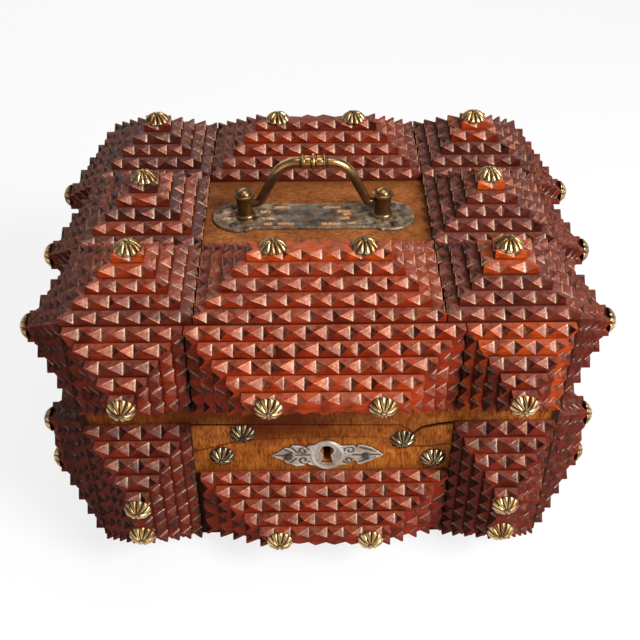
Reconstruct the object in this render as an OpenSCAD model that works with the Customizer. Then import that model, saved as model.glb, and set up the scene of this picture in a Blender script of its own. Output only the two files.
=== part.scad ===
// Chip-carved casket: a plain wooden box with a hinged lid, covered with stepped
// stacks of notched boards that are pinned by domed studs.
// Millimetres, +Z up, origin on the floor under the middle of the box, front towards -Y.

/* [Box] */
// Width of the plain box under the stacks
box_w = 230; // [210:1:250]
// Depth of the plain box under the stacks
box_d = 175; // [160:1:190]
// Height of the base up to the seam
base_h = 95.2; // [90:0.1:105]
// Height of the lid from the seam to the top of its panel
lid_h = 50.5; // [46:0.5:60]
// Thickness of the box's side boards
wall = 6; // [5:0.5:8]
// Thickness of the lid's panel
lid_panel_t = 5; // [4:0.5:7]
// Thickness of the base's bottom board
bottom_t = 5; // [4:0.5:7]
// Open line between the base and the closed lid
seam_gap = 0.3; // [0.2:0.1:0.6]

/* [Stacks] */
// Boards in a stack
boards = 5; // [4:1:5]
// Thickness of one board on the lid's top
top_board_t = 4.3; // [3.8:0.1:4.8]
// Thickness of one board on the front and the back
front_board_t = 5.4; // [4.8:0.1:5.6]
// Thickness of one board on the left and right sides
side_board_t = 4.8; // [4.2:0.1:5.4]
// Glue line left between two boards
glue_line = 0.1; // [0.05:0.05:0.2]
// Gap between neighbouring stacks
stack_gap = 0.6; // [0.4:0.1:1.5]
// Bare strip between a stack and the box's upright corner
edge_inset = 2; // [1:0.5:4]

/* [Lid top] */
// Width of the bare recess round the handle
recess_w = 112; // [106:1:120]
// Depth of the bare recess round the handle
recess_d = 61; // [56:1:66]
// Width of a corner stack's cap board
top_cap_w = 13.5; // [11:0.5:16]
// Depth of a front or back stack's cap board
top_cap_d = 10.5; // [9:0.5:13]
// Depth of a middle stack's cap board
middle_cap_d = 14; // [11:0.5:17]
// Width of a centre stack's cap board
top_centre_cap_w = 65; // [58:1:72]
// Distance between a centre stack's two studs
top_pair = 41; // [30:1:45]

/* [Front and back] */
// Width of a corner stack
corner_w = 50.5; // [46:0.5:54]
// How far the front's centre stacks sit to the right of the middle
front_shift = 2.2; // [0:0.1:3]
// Width of a corner stack's cap board
corner_cap_w = 11; // [9.5:0.5:14]
// Height of a lid stack's cap board
lid_cap_h = 9; // [8:0.5:11]
// Width of a lid centre stack's cap board
lid_centre_cap_w = 74; // [66:1:80]
// Distance between the studs of a lid centre stack
lid_pair = 50; // [40:1:56]
// Bare strip of the lid's back above the hinges
hinge_strip = 6; // [5.5:0.5:8]
// Height of the base stacks' foot above the floor
skirt = 2.5; // [1.5:0.5:4]
// Bare strip of the base between its stacks and the seam
rail_strip = 11; // [9.5:0.5:13]
// Height of a base corner stack's cap board
base_cap_h = 33; // [30:1:38]
// Distance between the two studs of a base corner stack
corner_pair = 20; // [15:1:24]
// Gap between the base's front centre stack and the corner stack at its right
base_centre_gap = 0.5; // [0.4:0.1:3]
// Height of the foot of the base's front centre stack
base_centre_z = 6; // [4:0.5:8]
// Height of the top of the base's front centre stack
base_centre_top = 49.5; // [48:0.5:51]
// Width of the cap board of the base's front centre stack
base_centre_cap_w = 65; // [58:1:70]
// Height of the cap board of the base's front centre stack
base_centre_cap_h = 9.2; // [8.2:0.2:11]
// Distance between the studs of the base's front centre stack
base_pair = 45; // [36:1:50]

/* [Rail studs] */
// Upper left stud: how far in from the corner stack
upper_left_in = 25; // [18:0.5:30]
// Upper left stud: how far up from the centre stack
upper_left_up = 27.5; // [20:0.5:30]
// Lower left stud: how far in from the corner stack
lower_left_in = 14; // [8:0.5:16]
// Lower left stud: how far up from the centre stack
lower_left_up = 11.5; // [8:0.5:14]
// Upper right stud: how far in from the corner stack
upper_right_in = 24; // [18:0.5:28]
// Upper right stud: how far up from the centre stack
upper_right_up = 22; // [20:0.5:28]
// Lower right stud: how far in from the corner stack
lower_right_in = 8.5; // [7:0.5:14]
// Lower right stud: how far up from the centre stack
lower_right_up = 8.5; // [7.5:0.5:12]

/* [Sides] */
// Width of a side stack's cap board
side_cap_w = 13; // [10:0.5:16]
// Height of a base side stack's cap board
side_cap_h = 40; // [36:1:44]
// Distance between the two studs of a base side stack
side_pair = 28; // [20:1:30]

/* [Notches] */
// Distance from one notch to the next
notch_pitch = 9.4; // [8.6:0.1:12]
// Flat left between a notch and the board above it
notch_margin = 0.4; // [0.3:0.1:0.8]
// Least width of a board, as a multiple of its notches' reach
notch_share = 3.2; // [3:0.1:4]
// Wood left under a notch
notch_floor = 0.7; // [0.5:0.1:1.5]
// Land left between two notches
notch_land = 0.5; // [0.3:0.1:1]
// Land left at a board's corners
end_land = 0.8; // [0.5:0.1:1.5]
// How far a notch strays from its place, as a share of the pitch
notch_wander = 0.08; // [0:0.01:0.12]
// How far a notch's valley sits off its middle, as a share of the pitch
notch_lean = 0.07; // [0:0.01:0.12]

/* [Studs] */
// Diameter of a stud's dome
stud_d = 13; // [10:0.5:13.5]
// Height of a stud's dome
stud_h = 4.4; // [2.8:0.1:5]
// Diameter of a stud's shank
shank_d = 1.8; // [1.4:0.1:2.2]
// Length of a stack stud's shank
shank_l = 8; // [6:0.5:8.5]
// Length of a rail stud's shank
rail_shank_l = 5; // [3.5:0.5:5]
// Clearance round a nail or screw in its hole
nail_fit = 0.05; // [0.03:0.01:0.1]

/* [Escutcheon and lock] */
// Sideways place of the keyhole
lock_x = 3.5; // [-5:0.5:5]
// Height of the keyhole's round part
keyhole_z = 65; // [62:0.5:68]
// Diameter of the keyhole's round part
keyhole_d = 6.2; // [5:0.2:7]
// Width of the keyhole's slot
keyhole_slot = 3.6; // [2.8:0.2:4.2]
// Length of the keyhole's slot below its round part
keyhole_drop = 8; // [6:0.5:9]
// Thickness of the escutcheon
plate_t = 1.4; // [1:0.1:2]
// Half length of the escutcheon
escutcheon_reach = 28; // [25:0.5:31]
// Diameter of the escutcheon's round middle
escutcheon_d = 20; // [18:0.5:21]
// Drop from the keyhole's round part to the escutcheon's middle
escutcheon_drop = 4; // [3:0.5:4.5]
// Height of the escutcheon's arms at their root
arm_root_h = 13; // [11:0.5:14]
// Height of the escutcheon's arms at their waist
arm_waist_h = 9.2; // [8:0.2:10]
// Height of the escutcheon's arms across their barbs
arm_barb_h = 14.8; // [13:0.2:16]
// Distance of the waist from the escutcheon's middle
arm_waist_x = 11; // [10:0.5:12]
// Distance of the barbs from the escutcheon's middle
arm_barb_x = 17.5; // [16.5:0.5:19]
// Length of the slope on either side of the waist
arm_slope_l = 3; // [2:0.5:4]
// How much the barbs flare towards their tips
arm_flare = 0.4; // [0.2:0.1:0.8]
// Distance between the escutcheon's nails
escutcheon_nails_w = 38; // [34:1:42]
// Width of the lock case
lock_w = 40; // [36:1:46]
// Height of the lock case
lock_h = 36; // [33:1:40]
// Depth of the lock case
lock_d = 12; // [11:0.5:14]
// Thickness of the lock's plates
lock_plate = 1.5; // [1.2:0.1:2]
// Drop from the base's rim to the lock case
lock_drop = 2; // [1:0.5:4]
// Length of the bolt
bolt_l = 16; // [13:0.5:17]
// Height of the bolt
bolt_h = 7; // [6:0.5:8]
// Thickness of the bolt
bolt_t = 3.5; // [3:0.1:4]
// Room in the case above the bolt
bolt_room = 3; // [2:0.5:4]
// Thickness of the staple's eye
staple_t = 3; // [2.5:0.1:3.5]
// Width of the staple's eye
staple_w = 7.5; // [7:0.1:8]
// Sideways place of the staple from the keyhole
staple_shift = 4; // [3:0.5:6]
// Room in the case in front of the staple's eye
staple_room = 1; // [0.5:0.1:1.5]
// Metal left under the hole of the staple's eye
staple_foot = 2; // [1.5:0.5:3]
// Width of the staple's plate
staple_plate_w = 26; // [24:1:30]
// Height of the staple's plate
staple_plate_h = 12; // [10:1:14]
// Distance of a screw from the middle of the staple's plate
staple_screw_x = 9; // [8:0.5:10]
// Width of the ears that the lock case is screwed down by
lock_ear_w = 8; // [7:0.5:10]
// Height of the lock case's ears
lock_ear_h = 12; // [10:1:16]
// Running clearance in the lock
lock_fit = 0.3; // [0.2:0.05:0.5]

/* [Hinges] */
// Distance of each hinge from the middle
hinge_x = 62; // [50:1:80]
// Length of a hinge
hinge_l = 33; // [27:1:39]
// Diameter of a hinge's knuckles
knuckle_d = 5; // [4:0.2:5.4]
// Diameter of a hinge's pin
pin_d = 2.4; // [1.8:0.1:2.8]
// Radial clearance of the hinge's pin
pin_fit = 0.05; // [0.03:0.01:0.08]
// Thickness of a hinge's leaf
leaf_t = 1.2; // [1:0.1:1.6]
// Clearance between knuckles and round the leaves
hinge_fit = 0.3; // [0.2:0.05:0.4]
// Diameter of a screw's head
screw_head_d = 3.2; // [2.6:0.1:3.6]
// Diameter of a screw's shank
screw_d = 1.6; // [1.2:0.1:1.8]
// Thickness of a screw's head
screw_head_t = 0.7; // [0.5:0.1:0.9]
// Length of a screw's shank
screw_l = 4.5; // [3.5:0.5:4.5]

/* [Handle] */
// Sideways place of the handle
handle_x = -1.8; // [-4:0.1:2]
// Place of the handle from front to back
handle_y = -4; // [-9:0.5:0]
// Length of the handle's plate
handle_plate_l = 102; // [98:1:105]
// Width of the handle's plate
handle_plate_w = 22; // [19:0.5:24]
// Diameter of the plate's round ends
handle_end_d = 26; // [24:0.5:28]
// Distance between the front and back pins of the plate
handle_pin_row = 17; // [15:0.5:18]
// How far the pins stand out from the middle of the round ends
handle_pin_out = 2.5; // [1:0.5:4]
// Wood left under a pin of the plate
pin_floor = 1; // [0.5:0.1:1.5]
// Distance between the posts
post_pair = 69; // [64:1:73]
// Diameter of a post
post_d = 9; // [8:0.2:10]
// Height of a post above its plate
post_h = 15.5; // [14:0.5:18]
// How far a post's foot flares out
post_flare = 0.9; // [0.6:0.1:1.2]
// Thickness of the ring at a post's foot
post_ring_t = 1; // [0.8:0.1:1.4]
// Height of a post's flared foot
post_foot_h = 2.2; // [1.8:0.1:2.6]
// Height of a post's cap
post_cap_h = 3.4; // [3:0.1:4]
// How far a post's cap stands out
post_lip = 0.6; // [0.4:0.1:0.8]
// Height of the dome on a post's cap
post_dome_h = 1.4; // [1:0.1:1.8]
// Slope of the cap's edges
post_ease = 0.4; // [0.2:0.1:0.6]
// Thickness of a rivet's head inside the lid
rivet_head_t = 1.2; // [0.8:0.1:2]
// Diameter of a post's rivet through the lid
rivet_d = 4.4; // [3.6:0.2:5]
// Height of the bail's pivots above the plate
pivot_h = 7.5; // [6.5:0.5:9]
// Diameter of the bail's pivots
pivot_d = 3.4; // [2.8:0.1:3.8]
// Radial clearance of the bail's pivots
pivot_fit = 0.05; // [0.03:0.01:0.08]
// Diameter of the bail's rod
rod_d = 4.8; // [4.2:0.1:5.2]
// Reach of the bail from its pivots to its grip
bail_reach = 23; // [21.5:0.5:26]
// How far the bail leans back at rest, in degrees
bail_lean = 0; // [0:1:30]
// Slope of the bail's arms, in degrees
arm_slope = 63; // [58:1:68]
// Inner bend of the bail at its pivots
elbow_r = 4; // [3:0.5:5]
// Half length of the bail's straight grip
grip_half = 7; // [6:0.5:9]
// Diameter of the grip's middle ring
collar_d = 9; // [7.5:0.5:10]
// Half length of the middle ring at its foot
collar_l = 1.6; // [1.2:0.1:2]
// Length of the bead at each end of the grip
bead_l = 1.6; // [1.2:0.1:2]
// How far the beads stand out from the rod's bends
bead_swell = 0.9; // [0.6:0.1:1.2]
// How far the grip's neck stands out from the rod's bends
neck_swell = 0.3; // [0.2:0.1:0.5]
// Slope of the beads' edges
bead_ease = 0.3; // [0.2:0.1:0.4]
// How much thicker the bail is in its bends than along its arms
bend_swell = 0.3; // [0.2:0.1:0.6]
// How far the bail's straight lengths lap into its bends
bend_lap = 0.5; // [0.3:0.1:0.8]
// Gap between a post and the bail's elbow
post_gap = 0.4; // [0.3:0.1:0.8]

/* [Hidden] */
$fn = 48;

mahogany = "#8f3520";
dark_mahogany = "#5a2f28";
tan_wood = "#a5682a";
brass = "#b08a4a";
pewter = "#a8a49c";
old_iron = "#5c564e";

half_w = box_w / 2;
half_d = box_d / 2;
lid_z = base_h + seam_gap;
lid_top = lid_z + lid_h;
cut = 1;

// Places and sizes of the stacks on the lid's top
column_w = (box_w - recess_w) / 2;
row_d = (box_d - recess_d) / 2;
column_x = (recess_w + column_w) / 2;
row_y = (recess_d + row_d) / 2;
top_corner_foot = [column_w - stack_gap, row_d - stack_gap];
top_middle_foot = [column_w - stack_gap, recess_d - stack_gap];
top_centre_foot = [recess_w - stack_gap, row_d - stack_gap];
top_corner_cap = [top_cap_w, top_cap_d];
top_middle_cap = [top_cap_w, middle_cap_d];
top_centre_cap = [top_centre_cap_w, top_cap_d];

// Places and sizes of the upright stacks: the front and back, then the sides
corner_x = half_w - edge_inset - corner_w / 2;
centre_w = box_w - 2 * (edge_inset + corner_w + stack_gap);
function front_corner_w(sx) = corner_w - sx * front_shift;
function front_corner_x(sx) = sx * (half_w - edge_inset - front_corner_w(sx) / 2);
lid_stack_h = lid_h - stack_gap;
lid_stack_z = lid_z + lid_h / 2;
lid_back_h = lid_h - hinge_strip - stack_gap;
lid_back_z = lid_top - stack_gap / 2 - lid_back_h / 2;
base_stack_h = base_h - rail_strip - skirt;
base_stack_z = skirt + base_stack_h / 2;
base_centre_h = base_centre_top - base_centre_z;
base_centre_mid = base_centre_z + base_centre_h / 2;
rail_edge = half_w - edge_inset - corner_w;
rail_right = rail_edge + front_shift;
base_centre_w = 2 * (rail_edge - base_centre_gap);
side_w = (box_d - 2 * edge_inset - 2 * stack_gap) / 3;
side_y = side_w + stack_gap;

// Offsets of the studs from the middle of their stacks
one_stud = [[0, 0]];
function beside(pair) = [[-pair / 2, 0], [pair / 2, 0]];
function above(pair) = [[0, -pair / 2], [0, pair / 2]];

// Places of the bare rail's studs, as [x, z]
rail_places = [
    [upper_left_in - rail_edge, base_centre_top + upper_left_up],
    [lower_left_in - rail_edge, base_centre_top + lower_left_up],
    [rail_right - upper_right_in, base_centre_top + upper_right_up],
    [rail_right - lower_right_in, base_centre_top + lower_right_up]
];

// Lock and hinge places
lock_y = -half_d + wall;
escutcheon_z = keyhole_z - escutcheon_drop;
lock_top = base_h - lock_drop;
bolt_z = lock_top - lock_plate - lock_fit - bolt_h / 2 - bolt_room;
bolt_y = lock_y + lock_plate + staple_room + staple_w / 2;
staple_x = lock_x + staple_shift;
staple_low = bolt_z - bolt_h / 2 - staple_foot;
hinge_y = half_d + hinge_fit + knuckle_d / 2;
hinge_z = base_h + seam_gap / 2;
knuckle_l = hinge_l / 3;
hinge_screw_x = hinge_l / 3;

// Handle places and the bail's curve, solved for its reach
handle_z = lid_top + plate_t;
post_x = post_pair / 2;
handle_end_x = (handle_plate_l - handle_end_d) / 2;
elbow_x = post_x - post_d / 2 - post_gap;
arm_in = elbow_x - grip_half - elbow_r * sin(arm_slope);
arm_up = bail_reach - elbow_r * (1 - cos(arm_slope));
arm_l = (arm_up * sin(arm_slope) - arm_in * (1 - cos(arm_slope))) / (1 - cos(arm_slope));
shoulder_r = (arm_in * sin(arm_slope) - arm_up * cos(arm_slope)) / (1 - cos(arm_slope));
bend_d = rod_d + bend_swell;
handle_pin_l = lid_panel_t - pin_floor;
handle_pin_places = [for (sx = [-1, 1]) for (sy = [-1, 1])
    [sx * (handle_end_x + handle_pin_out), sy * handle_pin_row / 2]];

// Carved boards

// One V cut across an arris that lies along X at y = 0, z = 0. The valley runs from
// the point reach back on the top face to the point drop down on the edge face.
module v_notch(from, to, valley, reach, drop) {
    rise = reach * drop / norm([reach, drop]);
    spread = 1.25;
    translate([0, -reach / 2, -drop / 2]) rotate([atan2(reach, drop), 0, 0])
        linear_extrude(norm([reach, drop]) + 2 * cut, center = true)
            polygon([
                [valley, 0],
                [valley + (to - valley) * spread, rise * spread],
                [valley + (from - valley) * spread, rise * spread]
            ]);
}

// A row of V cuts along an arris, strayed a little as hand work is.
module notch_row(length, reach, drop, seed) {
    count = max(1, round((length - 2 * end_land) / notch_pitch));
    pitch = (length - 2 * end_land) / count;
    stray = rands(-1, 1, 2 * count + 1, seed);
    edges = [for (i = [0 : count])
        i * pitch - length / 2 + end_land
        + (i > 0 && i < count ? stray[i] * notch_wander * pitch : 0)];
    for (i = [0 : count - 1])
        v_notch(
            edges[i] + notch_land / 2,
            edges[i + 1] - notch_land / 2,
            (edges[i] + edges[i + 1]) / 2 + (1 + stray[count + 1 + i]) * notch_lean * pitch / 2,
            reach, drop
        );
}

// One board with all four upper arrises notched. It lies on z = 0.
module carved_board(size, t, reach, seed) {
    drop = t - notch_floor;
    difference() {
        translate([-size.x / 2, -size.y / 2, 0]) cube([size.x, size.y, t]);
        for (side = [0 : 3]) {
            long = side % 2 == 0 ? size.x : size.y;
            out = side % 2 == 0 ? size.y : size.x;
            deep = min(drop, side % 2 == 0 ? reach.y : reach.x, out / notch_share);
            rotate([0, 0, 90 * side]) translate([0, out / 2, t])
                notch_row(long, deep, drop, seed + side);
        }
    }
}

// A stack of boards from its foot to its cap, with holes for its studs' shanks.
module stack(foot, cap, board_t, studs, seed) {
    step = (foot - cap) / (2 * (boards - 1));
    reach = step - [notch_margin, notch_margin];
    for (i = [0 : boards - 1])
        difference() {
            translate([0, 0, i * board_t])
                carved_board(foot - 2 * i * step, board_t - glue_line, reach, seed + 10 * i);
            for (p = studs)
                translate([p.x, p.y, boards * board_t - glue_line - shank_l - nail_fit])
                    cylinder(d = shank_d + 2 * nail_fit, h = shank_l + cut);
        }
}

// Frames that stand a stack or stud on a face of the box: local Z points outwards
module on_top(p) { translate([p.x, p.y, lid_top]) children(); }
module on_front(p) { translate([p.x, -half_d, p.y]) rotate([90, 0, 0]) children(); }
module on_back(p) { translate([p.x, half_d, p.y]) rotate([90, 0, 180]) children(); }
module on_left(p) { translate([-half_w, p.x, p.y]) rotate([90, 0, -90]) children(); }
module on_right(p) { translate([half_w, p.x, p.y]) rotate([90, 0, 90]) children(); }

// Height of a stack's top above the face it stands on
function stack_top(board_t) = boards * board_t - glue_line;

// A domed stud whose shank goes down from z = 0.
module stud(length) {
    dome_r = (pow(stud_d / 2, 2) + pow(stud_h, 2)) / (2 * stud_h);
    intersection() {
        translate([0, 0, stud_h - dome_r]) sphere(dome_r);
        cylinder(d = stud_d, h = stud_h);
    }
    translate([0, 0, -length]) cylinder(d = shank_d, h = length + stud_h / 2);
}

// The studs of one stack, on its cap board.
module stack_studs(places, board_t) {
    for (p = places) translate([p.x, p.y, stack_top(board_t)]) stud(shank_l);
}

// The box's boards

module base_bottom() {
    color(tan_wood) translate([wall - half_w, wall - half_d, 0])
        cube([box_w - 2 * wall, box_d - 2 * wall, bottom_t]);
}

module keyhole(depth) {
    rotate([90, 0, 0]) {
        translate([0, 0, -cut]) cylinder(d = keyhole_d, h = depth + 2 * cut);
        translate([-keyhole_slot / 2, -keyhole_drop, -cut])
            cube([keyhole_slot, keyhole_drop, depth + 2 * cut]);
    }
}

module base_front_board() {
    color(tan_wood) difference() {
        translate([-half_w, -half_d, 0]) cube([box_w, wall, base_h]);
        translate([lock_x, lock_y, keyhole_z]) keyhole(wall);
        for (p = rail_places) on_front(p) shank_hole(rail_shank_l);
        for (p = escutcheon_nail_places()) on_front(p) shank_hole(rail_shank_l);
        lock_screw_places() screw_hole();
    }
}

module shank_hole(length) {
    translate([0, 0, -length - nail_fit]) cylinder(d = shank_d + 2 * nail_fit, h = length + cut);
}

module base_back_board() {
    color(tan_wood) difference() {
        translate([-half_w, half_d - wall, 0]) cube([box_w, wall, base_h]);
        for (side = [-1, 1])
            translate([side * hinge_x - hinge_l / 2 - hinge_fit, half_d - wall - cut, base_h - leaf_t])
                cube([hinge_l + 2 * hinge_fit, wall + 2 * cut, leaf_t + cut]);
        hinge_screw_places(1) screw_hole();
    }
}

module base_side_board(side) {
    color(tan_wood) translate([side * (half_w - wall / 2) - wall / 2, wall - half_d, 0])
        cube([wall, box_d - 2 * wall, base_h]);
}
module base_left_board() { base_side_board(-1); }
module base_right_board() { base_side_board(1); }

module lid_panel() {
    color(tan_wood) difference() {
        translate([-half_w, -half_d, lid_top - lid_panel_t]) cube([box_w, box_d, lid_panel_t]);
        for (side = [-1, 1])
            translate([handle_x + side * post_x, handle_y, lid_top - lid_panel_t - cut])
                cylinder(d = rivet_d + 2 * nail_fit, h = lid_panel_t + 2 * cut);
        for (p = handle_pin_places)
            translate([handle_x + p.x, handle_y + p.y, lid_top]) shank_hole(handle_pin_l);
    }
}

lid_board_h = lid_h - lid_panel_t;

module lid_front_board() {
    color(tan_wood) difference() {
        translate([-half_w, -half_d, lid_z]) cube([box_w, wall, lid_board_h]);
        staple_screw_places() screw_hole();
    }
}

module lid_back_board() {
    color(tan_wood) difference() {
        translate([-half_w, half_d - wall, lid_z]) cube([box_w, wall, lid_board_h]);
        for (side = [-1, 1])
            translate([side * hinge_x - hinge_l / 2 - hinge_fit, half_d - wall - cut, lid_z - cut])
                cube([hinge_l + 2 * hinge_fit, wall + 2 * cut, leaf_t + cut]);
        hinge_screw_places(-1) screw_hole();
    }
}

module lid_side_board(side) {
    color(tan_wood) translate([side * (half_w - wall / 2) - wall / 2, wall - half_d, lid_z])
        cube([wall, box_d - 2 * wall, lid_board_h]);
}
module lid_left_board() { lid_side_board(-1); }
module lid_right_board() { lid_side_board(1); }

// Stacks on the lid's top

module top_corner(sx, sy, seed) {
    color(mahogany) on_top([sx * column_x, sy * row_y])
        stack(top_corner_foot, top_corner_cap, top_board_t, one_stud, seed);
}
module top_middle(sx, seed) {
    color(dark_mahogany) on_top([sx * column_x, 0])
        stack(top_middle_foot, top_middle_cap, top_board_t, one_stud, seed);
}
module top_centre(sy, seed) {
    color(mahogany) on_top([0, sy * row_y])
        stack(top_centre_foot, top_centre_cap, top_board_t, beside(top_pair), seed);
}
module lid_top_front_left_stack() { top_corner(-1, -1, 100); }
module lid_top_front_centre_stack() { top_centre(-1, 200); }
module lid_top_front_right_stack() { top_corner(1, -1, 300); }
module lid_top_middle_left_stack() { top_middle(-1, 400); }
module lid_top_middle_right_stack() { top_middle(1, 500); }
module lid_top_back_left_stack() { top_corner(-1, 1, 600); }
module lid_top_back_centre_stack() { top_centre(1, 700); }
module lid_top_back_right_stack() { top_corner(1, 1, 800); }

// Stacks on the lid's front, back and sides

lid_corner_cap = [corner_cap_w, lid_cap_h];
lid_centre_cap = [lid_centre_cap_w, lid_cap_h];
module lid_front_corner(sx, seed) {
    color(mahogany) on_front([front_corner_x(sx), lid_stack_z])
        stack([front_corner_w(sx), lid_stack_h], lid_corner_cap, front_board_t, one_stud, seed);
}
module lid_front_left_stack() { lid_front_corner(-1, 1100); }
module lid_front_centre_stack() {
    color(mahogany) on_front([front_shift, lid_stack_z])
        stack([centre_w, lid_stack_h], lid_centre_cap, front_board_t, beside(lid_pair), 1200);
}
module lid_front_right_stack() { lid_front_corner(1, 1300); }

module lid_back_corner(sx, seed) {
    color(dark_mahogany) on_back([sx * corner_x, lid_back_z])
        stack([corner_w, lid_back_h], lid_corner_cap, front_board_t, one_stud, seed);
}
module lid_back_left_stack() { lid_back_corner(-1, 1400); }
module lid_back_centre_stack() {
    color(dark_mahogany) on_back([0, lid_back_z])
        stack([centre_w, lid_back_h], lid_centre_cap, front_board_t, beside(lid_pair), 1500);
}
module lid_back_right_stack() { lid_back_corner(1, 1600); }

module lid_side_stack(seed) {
    color(dark_mahogany)
        stack([side_w, lid_stack_h], [side_cap_w, lid_cap_h], side_board_t, one_stud, seed);
}
module lid_left_front_stack() { on_left([-side_y, lid_stack_z]) lid_side_stack(2100); }
module lid_left_middle_stack() { on_left([0, lid_stack_z]) lid_side_stack(2200); }
module lid_left_rear_stack() { on_left([side_y, lid_stack_z]) lid_side_stack(2300); }
module lid_right_front_stack() { on_right([-side_y, lid_stack_z]) lid_side_stack(2400); }
module lid_right_middle_stack() { on_right([0, lid_stack_z]) lid_side_stack(2500); }
module lid_right_rear_stack() { on_right([side_y, lid_stack_z]) lid_side_stack(2600); }

// Stacks on the base

base_corner_cap = [corner_cap_w, base_cap_h];
module base_corner_stack(width, seed) {
    color(mahogany)
        stack([width, base_stack_h], base_corner_cap, front_board_t, above(corner_pair), seed);
}
module base_front_left_stack() { on_front([-corner_x, base_stack_z]) base_corner_stack(corner_w, 3100); }
module base_front_centre_stack() {
    color(mahogany) on_front([front_shift, base_centre_mid])
        stack([base_centre_w, base_centre_h], [base_centre_cap_w, base_centre_cap_h],
            front_board_t, beside(base_pair), 3200);
}
module base_front_right_stack() {
    on_front([front_corner_x(1), base_stack_z]) base_corner_stack(front_corner_w(1), 3300);
}
module base_back_left_stack() { on_back([-corner_x, base_stack_z]) base_corner_stack(corner_w, 3400); }
module base_back_centre_stack() {
    color(dark_mahogany) on_back([0, base_stack_z])
        stack([centre_w, base_stack_h], [lid_centre_cap_w, base_cap_h],
            front_board_t, beside(lid_pair), 3500);
}
module base_back_right_stack() { on_back([corner_x, base_stack_z]) base_corner_stack(corner_w, 3600); }

module base_side_stack(seed) {
    color(dark_mahogany)
        stack([side_w, base_stack_h], [side_cap_w, side_cap_h], side_board_t, above(side_pair), seed);
}
module base_left_front_stack() { on_left([-side_y, base_stack_z]) base_side_stack(4100); }
module base_left_middle_stack() { on_left([0, base_stack_z]) base_side_stack(4200); }
module base_left_rear_stack() { on_left([side_y, base_stack_z]) base_side_stack(4300); }
module base_right_front_stack() { on_right([-side_y, base_stack_z]) base_side_stack(4400); }
module base_right_middle_stack() { on_right([0, base_stack_z]) base_side_stack(4500); }
module base_right_rear_stack() { on_right([side_y, base_stack_z]) base_side_stack(4600); }

// Studs

module lid_studs() {
    color(brass) {
        for (sx = [-1, 1]) {
            for (sy = [-1, 0, 1]) on_top([sx * column_x, sy * row_y]) stack_studs(one_stud, top_board_t);
            on_front([front_corner_x(sx), lid_stack_z]) stack_studs(one_stud, front_board_t);
            on_back([sx * corner_x, lid_back_z]) stack_studs(one_stud, front_board_t);
        }
        for (sy = [-1, 1]) on_top([0, sy * row_y]) stack_studs(beside(top_pair), top_board_t);
        on_front([front_shift, lid_stack_z]) stack_studs(beside(lid_pair), front_board_t);
        on_back([0, lid_back_z]) stack_studs(beside(lid_pair), front_board_t);
        for (sy = [-1, 0, 1]) {
            on_left([sy * side_y, lid_stack_z]) stack_studs(one_stud, side_board_t);
            on_right([sy * side_y, lid_stack_z]) stack_studs(one_stud, side_board_t);
        }
    }
}

module base_studs() {
    color(brass) {
        for (x = [-corner_x, front_corner_x(1)])
            on_front([x, base_stack_z]) stack_studs(above(corner_pair), front_board_t);
        for (sx = [-1, 1])
            on_back([sx * corner_x, base_stack_z]) stack_studs(above(corner_pair), front_board_t);
        on_front([front_shift, base_centre_mid]) stack_studs(beside(base_pair), front_board_t);
        on_back([0, base_stack_z]) stack_studs(beside(lid_pair), front_board_t);
        for (sy = [-1, 0, 1]) {
            on_left([sy * side_y, base_stack_z]) stack_studs(above(side_pair), side_board_t);
            on_right([sy * side_y, base_stack_z]) stack_studs(above(side_pair), side_board_t);
        }
    }
}

module rail_studs() {
    color(brass) for (p = rail_places) on_front(p) stud(rail_shank_l);
}

// Escutcheon

function escutcheon_nail_places() =
    [for (side = [-1, 1]) [lock_x + side * escutcheon_nails_w / 2, escutcheon_z]];

// Outline of one leaf arm, from the round middle to its pointed tip.
module leaf_arm() {
    edge = [
        [0, arm_root_h / 2], [arm_waist_x - arm_slope_l, arm_root_h / 2],
        [arm_waist_x, arm_waist_h / 2],
        [arm_waist_x + arm_slope_l, arm_barb_h / 2 - arm_flare], [arm_barb_x, arm_barb_h / 2]
    ];
    lower_edge = [for (i = [len(edge) - 1 : -1 : 0]) [edge[i].x, -edge[i].y]];
    polygon(concat(edge, [[escutcheon_reach, 0]], lower_edge));
}

module escutcheon() {
    color(pewter) difference() {
        on_front([lock_x, escutcheon_z]) {
            linear_extrude(plate_t) {
                leaf_arm();
                mirror([1, 0]) leaf_arm();
            }
            cylinder(d = escutcheon_d, h = plate_t);
        }
        translate([lock_x, -half_d, keyhole_z]) keyhole(plate_t);
        for (p = escutcheon_nail_places()) on_front(p)
            translate([0, 0, -cut]) cylinder(d = shank_d + 2 * nail_fit, h = plate_t + 2 * cut);
    }
}

module escutcheon_nails() {
    color(old_iron) for (p = escutcheon_nail_places()) on_front(p) {
        translate([0, 0, -rail_shank_l]) cylinder(d = shank_d, h = rail_shank_l + plate_t);
        translate([0, 0, plate_t]) cylinder(d = 2 * shank_d, h = shank_d / 3);
    }
}

// Lock

// A flat-headed screw whose head's face is z = 0 and whose shank goes down.
module screw() {
    translate([0, 0, -screw_head_t]) cylinder(d = screw_head_d, h = screw_head_t);
    translate([0, 0, -screw_l]) cylinder(d = screw_d, h = screw_l);
}
module screw_hole() {
    translate([0, 0, -screw_head_t]) cylinder(d = screw_head_d + 2 * nail_fit, h = screw_head_t + cut);
    translate([0, 0, -screw_l - nail_fit]) cylinder(d = screw_d + 2 * nail_fit, h = screw_l + cut);
}

module lock_screw_places() {
    for (side = [-1, 1])
        translate([lock_x + side * (lock_w + lock_ear_w) / 2, lock_y + lock_plate, lock_top - lock_h / 2])
            rotate([-90, 0, 0]) children();
}
module staple_screw_places() {
    for (side = [-1, 1])
        translate([staple_x + side * staple_screw_x, lock_y + lock_plate, lid_z + staple_plate_h / 2])
            rotate([-90, 0, 0]) children();
}
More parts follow.
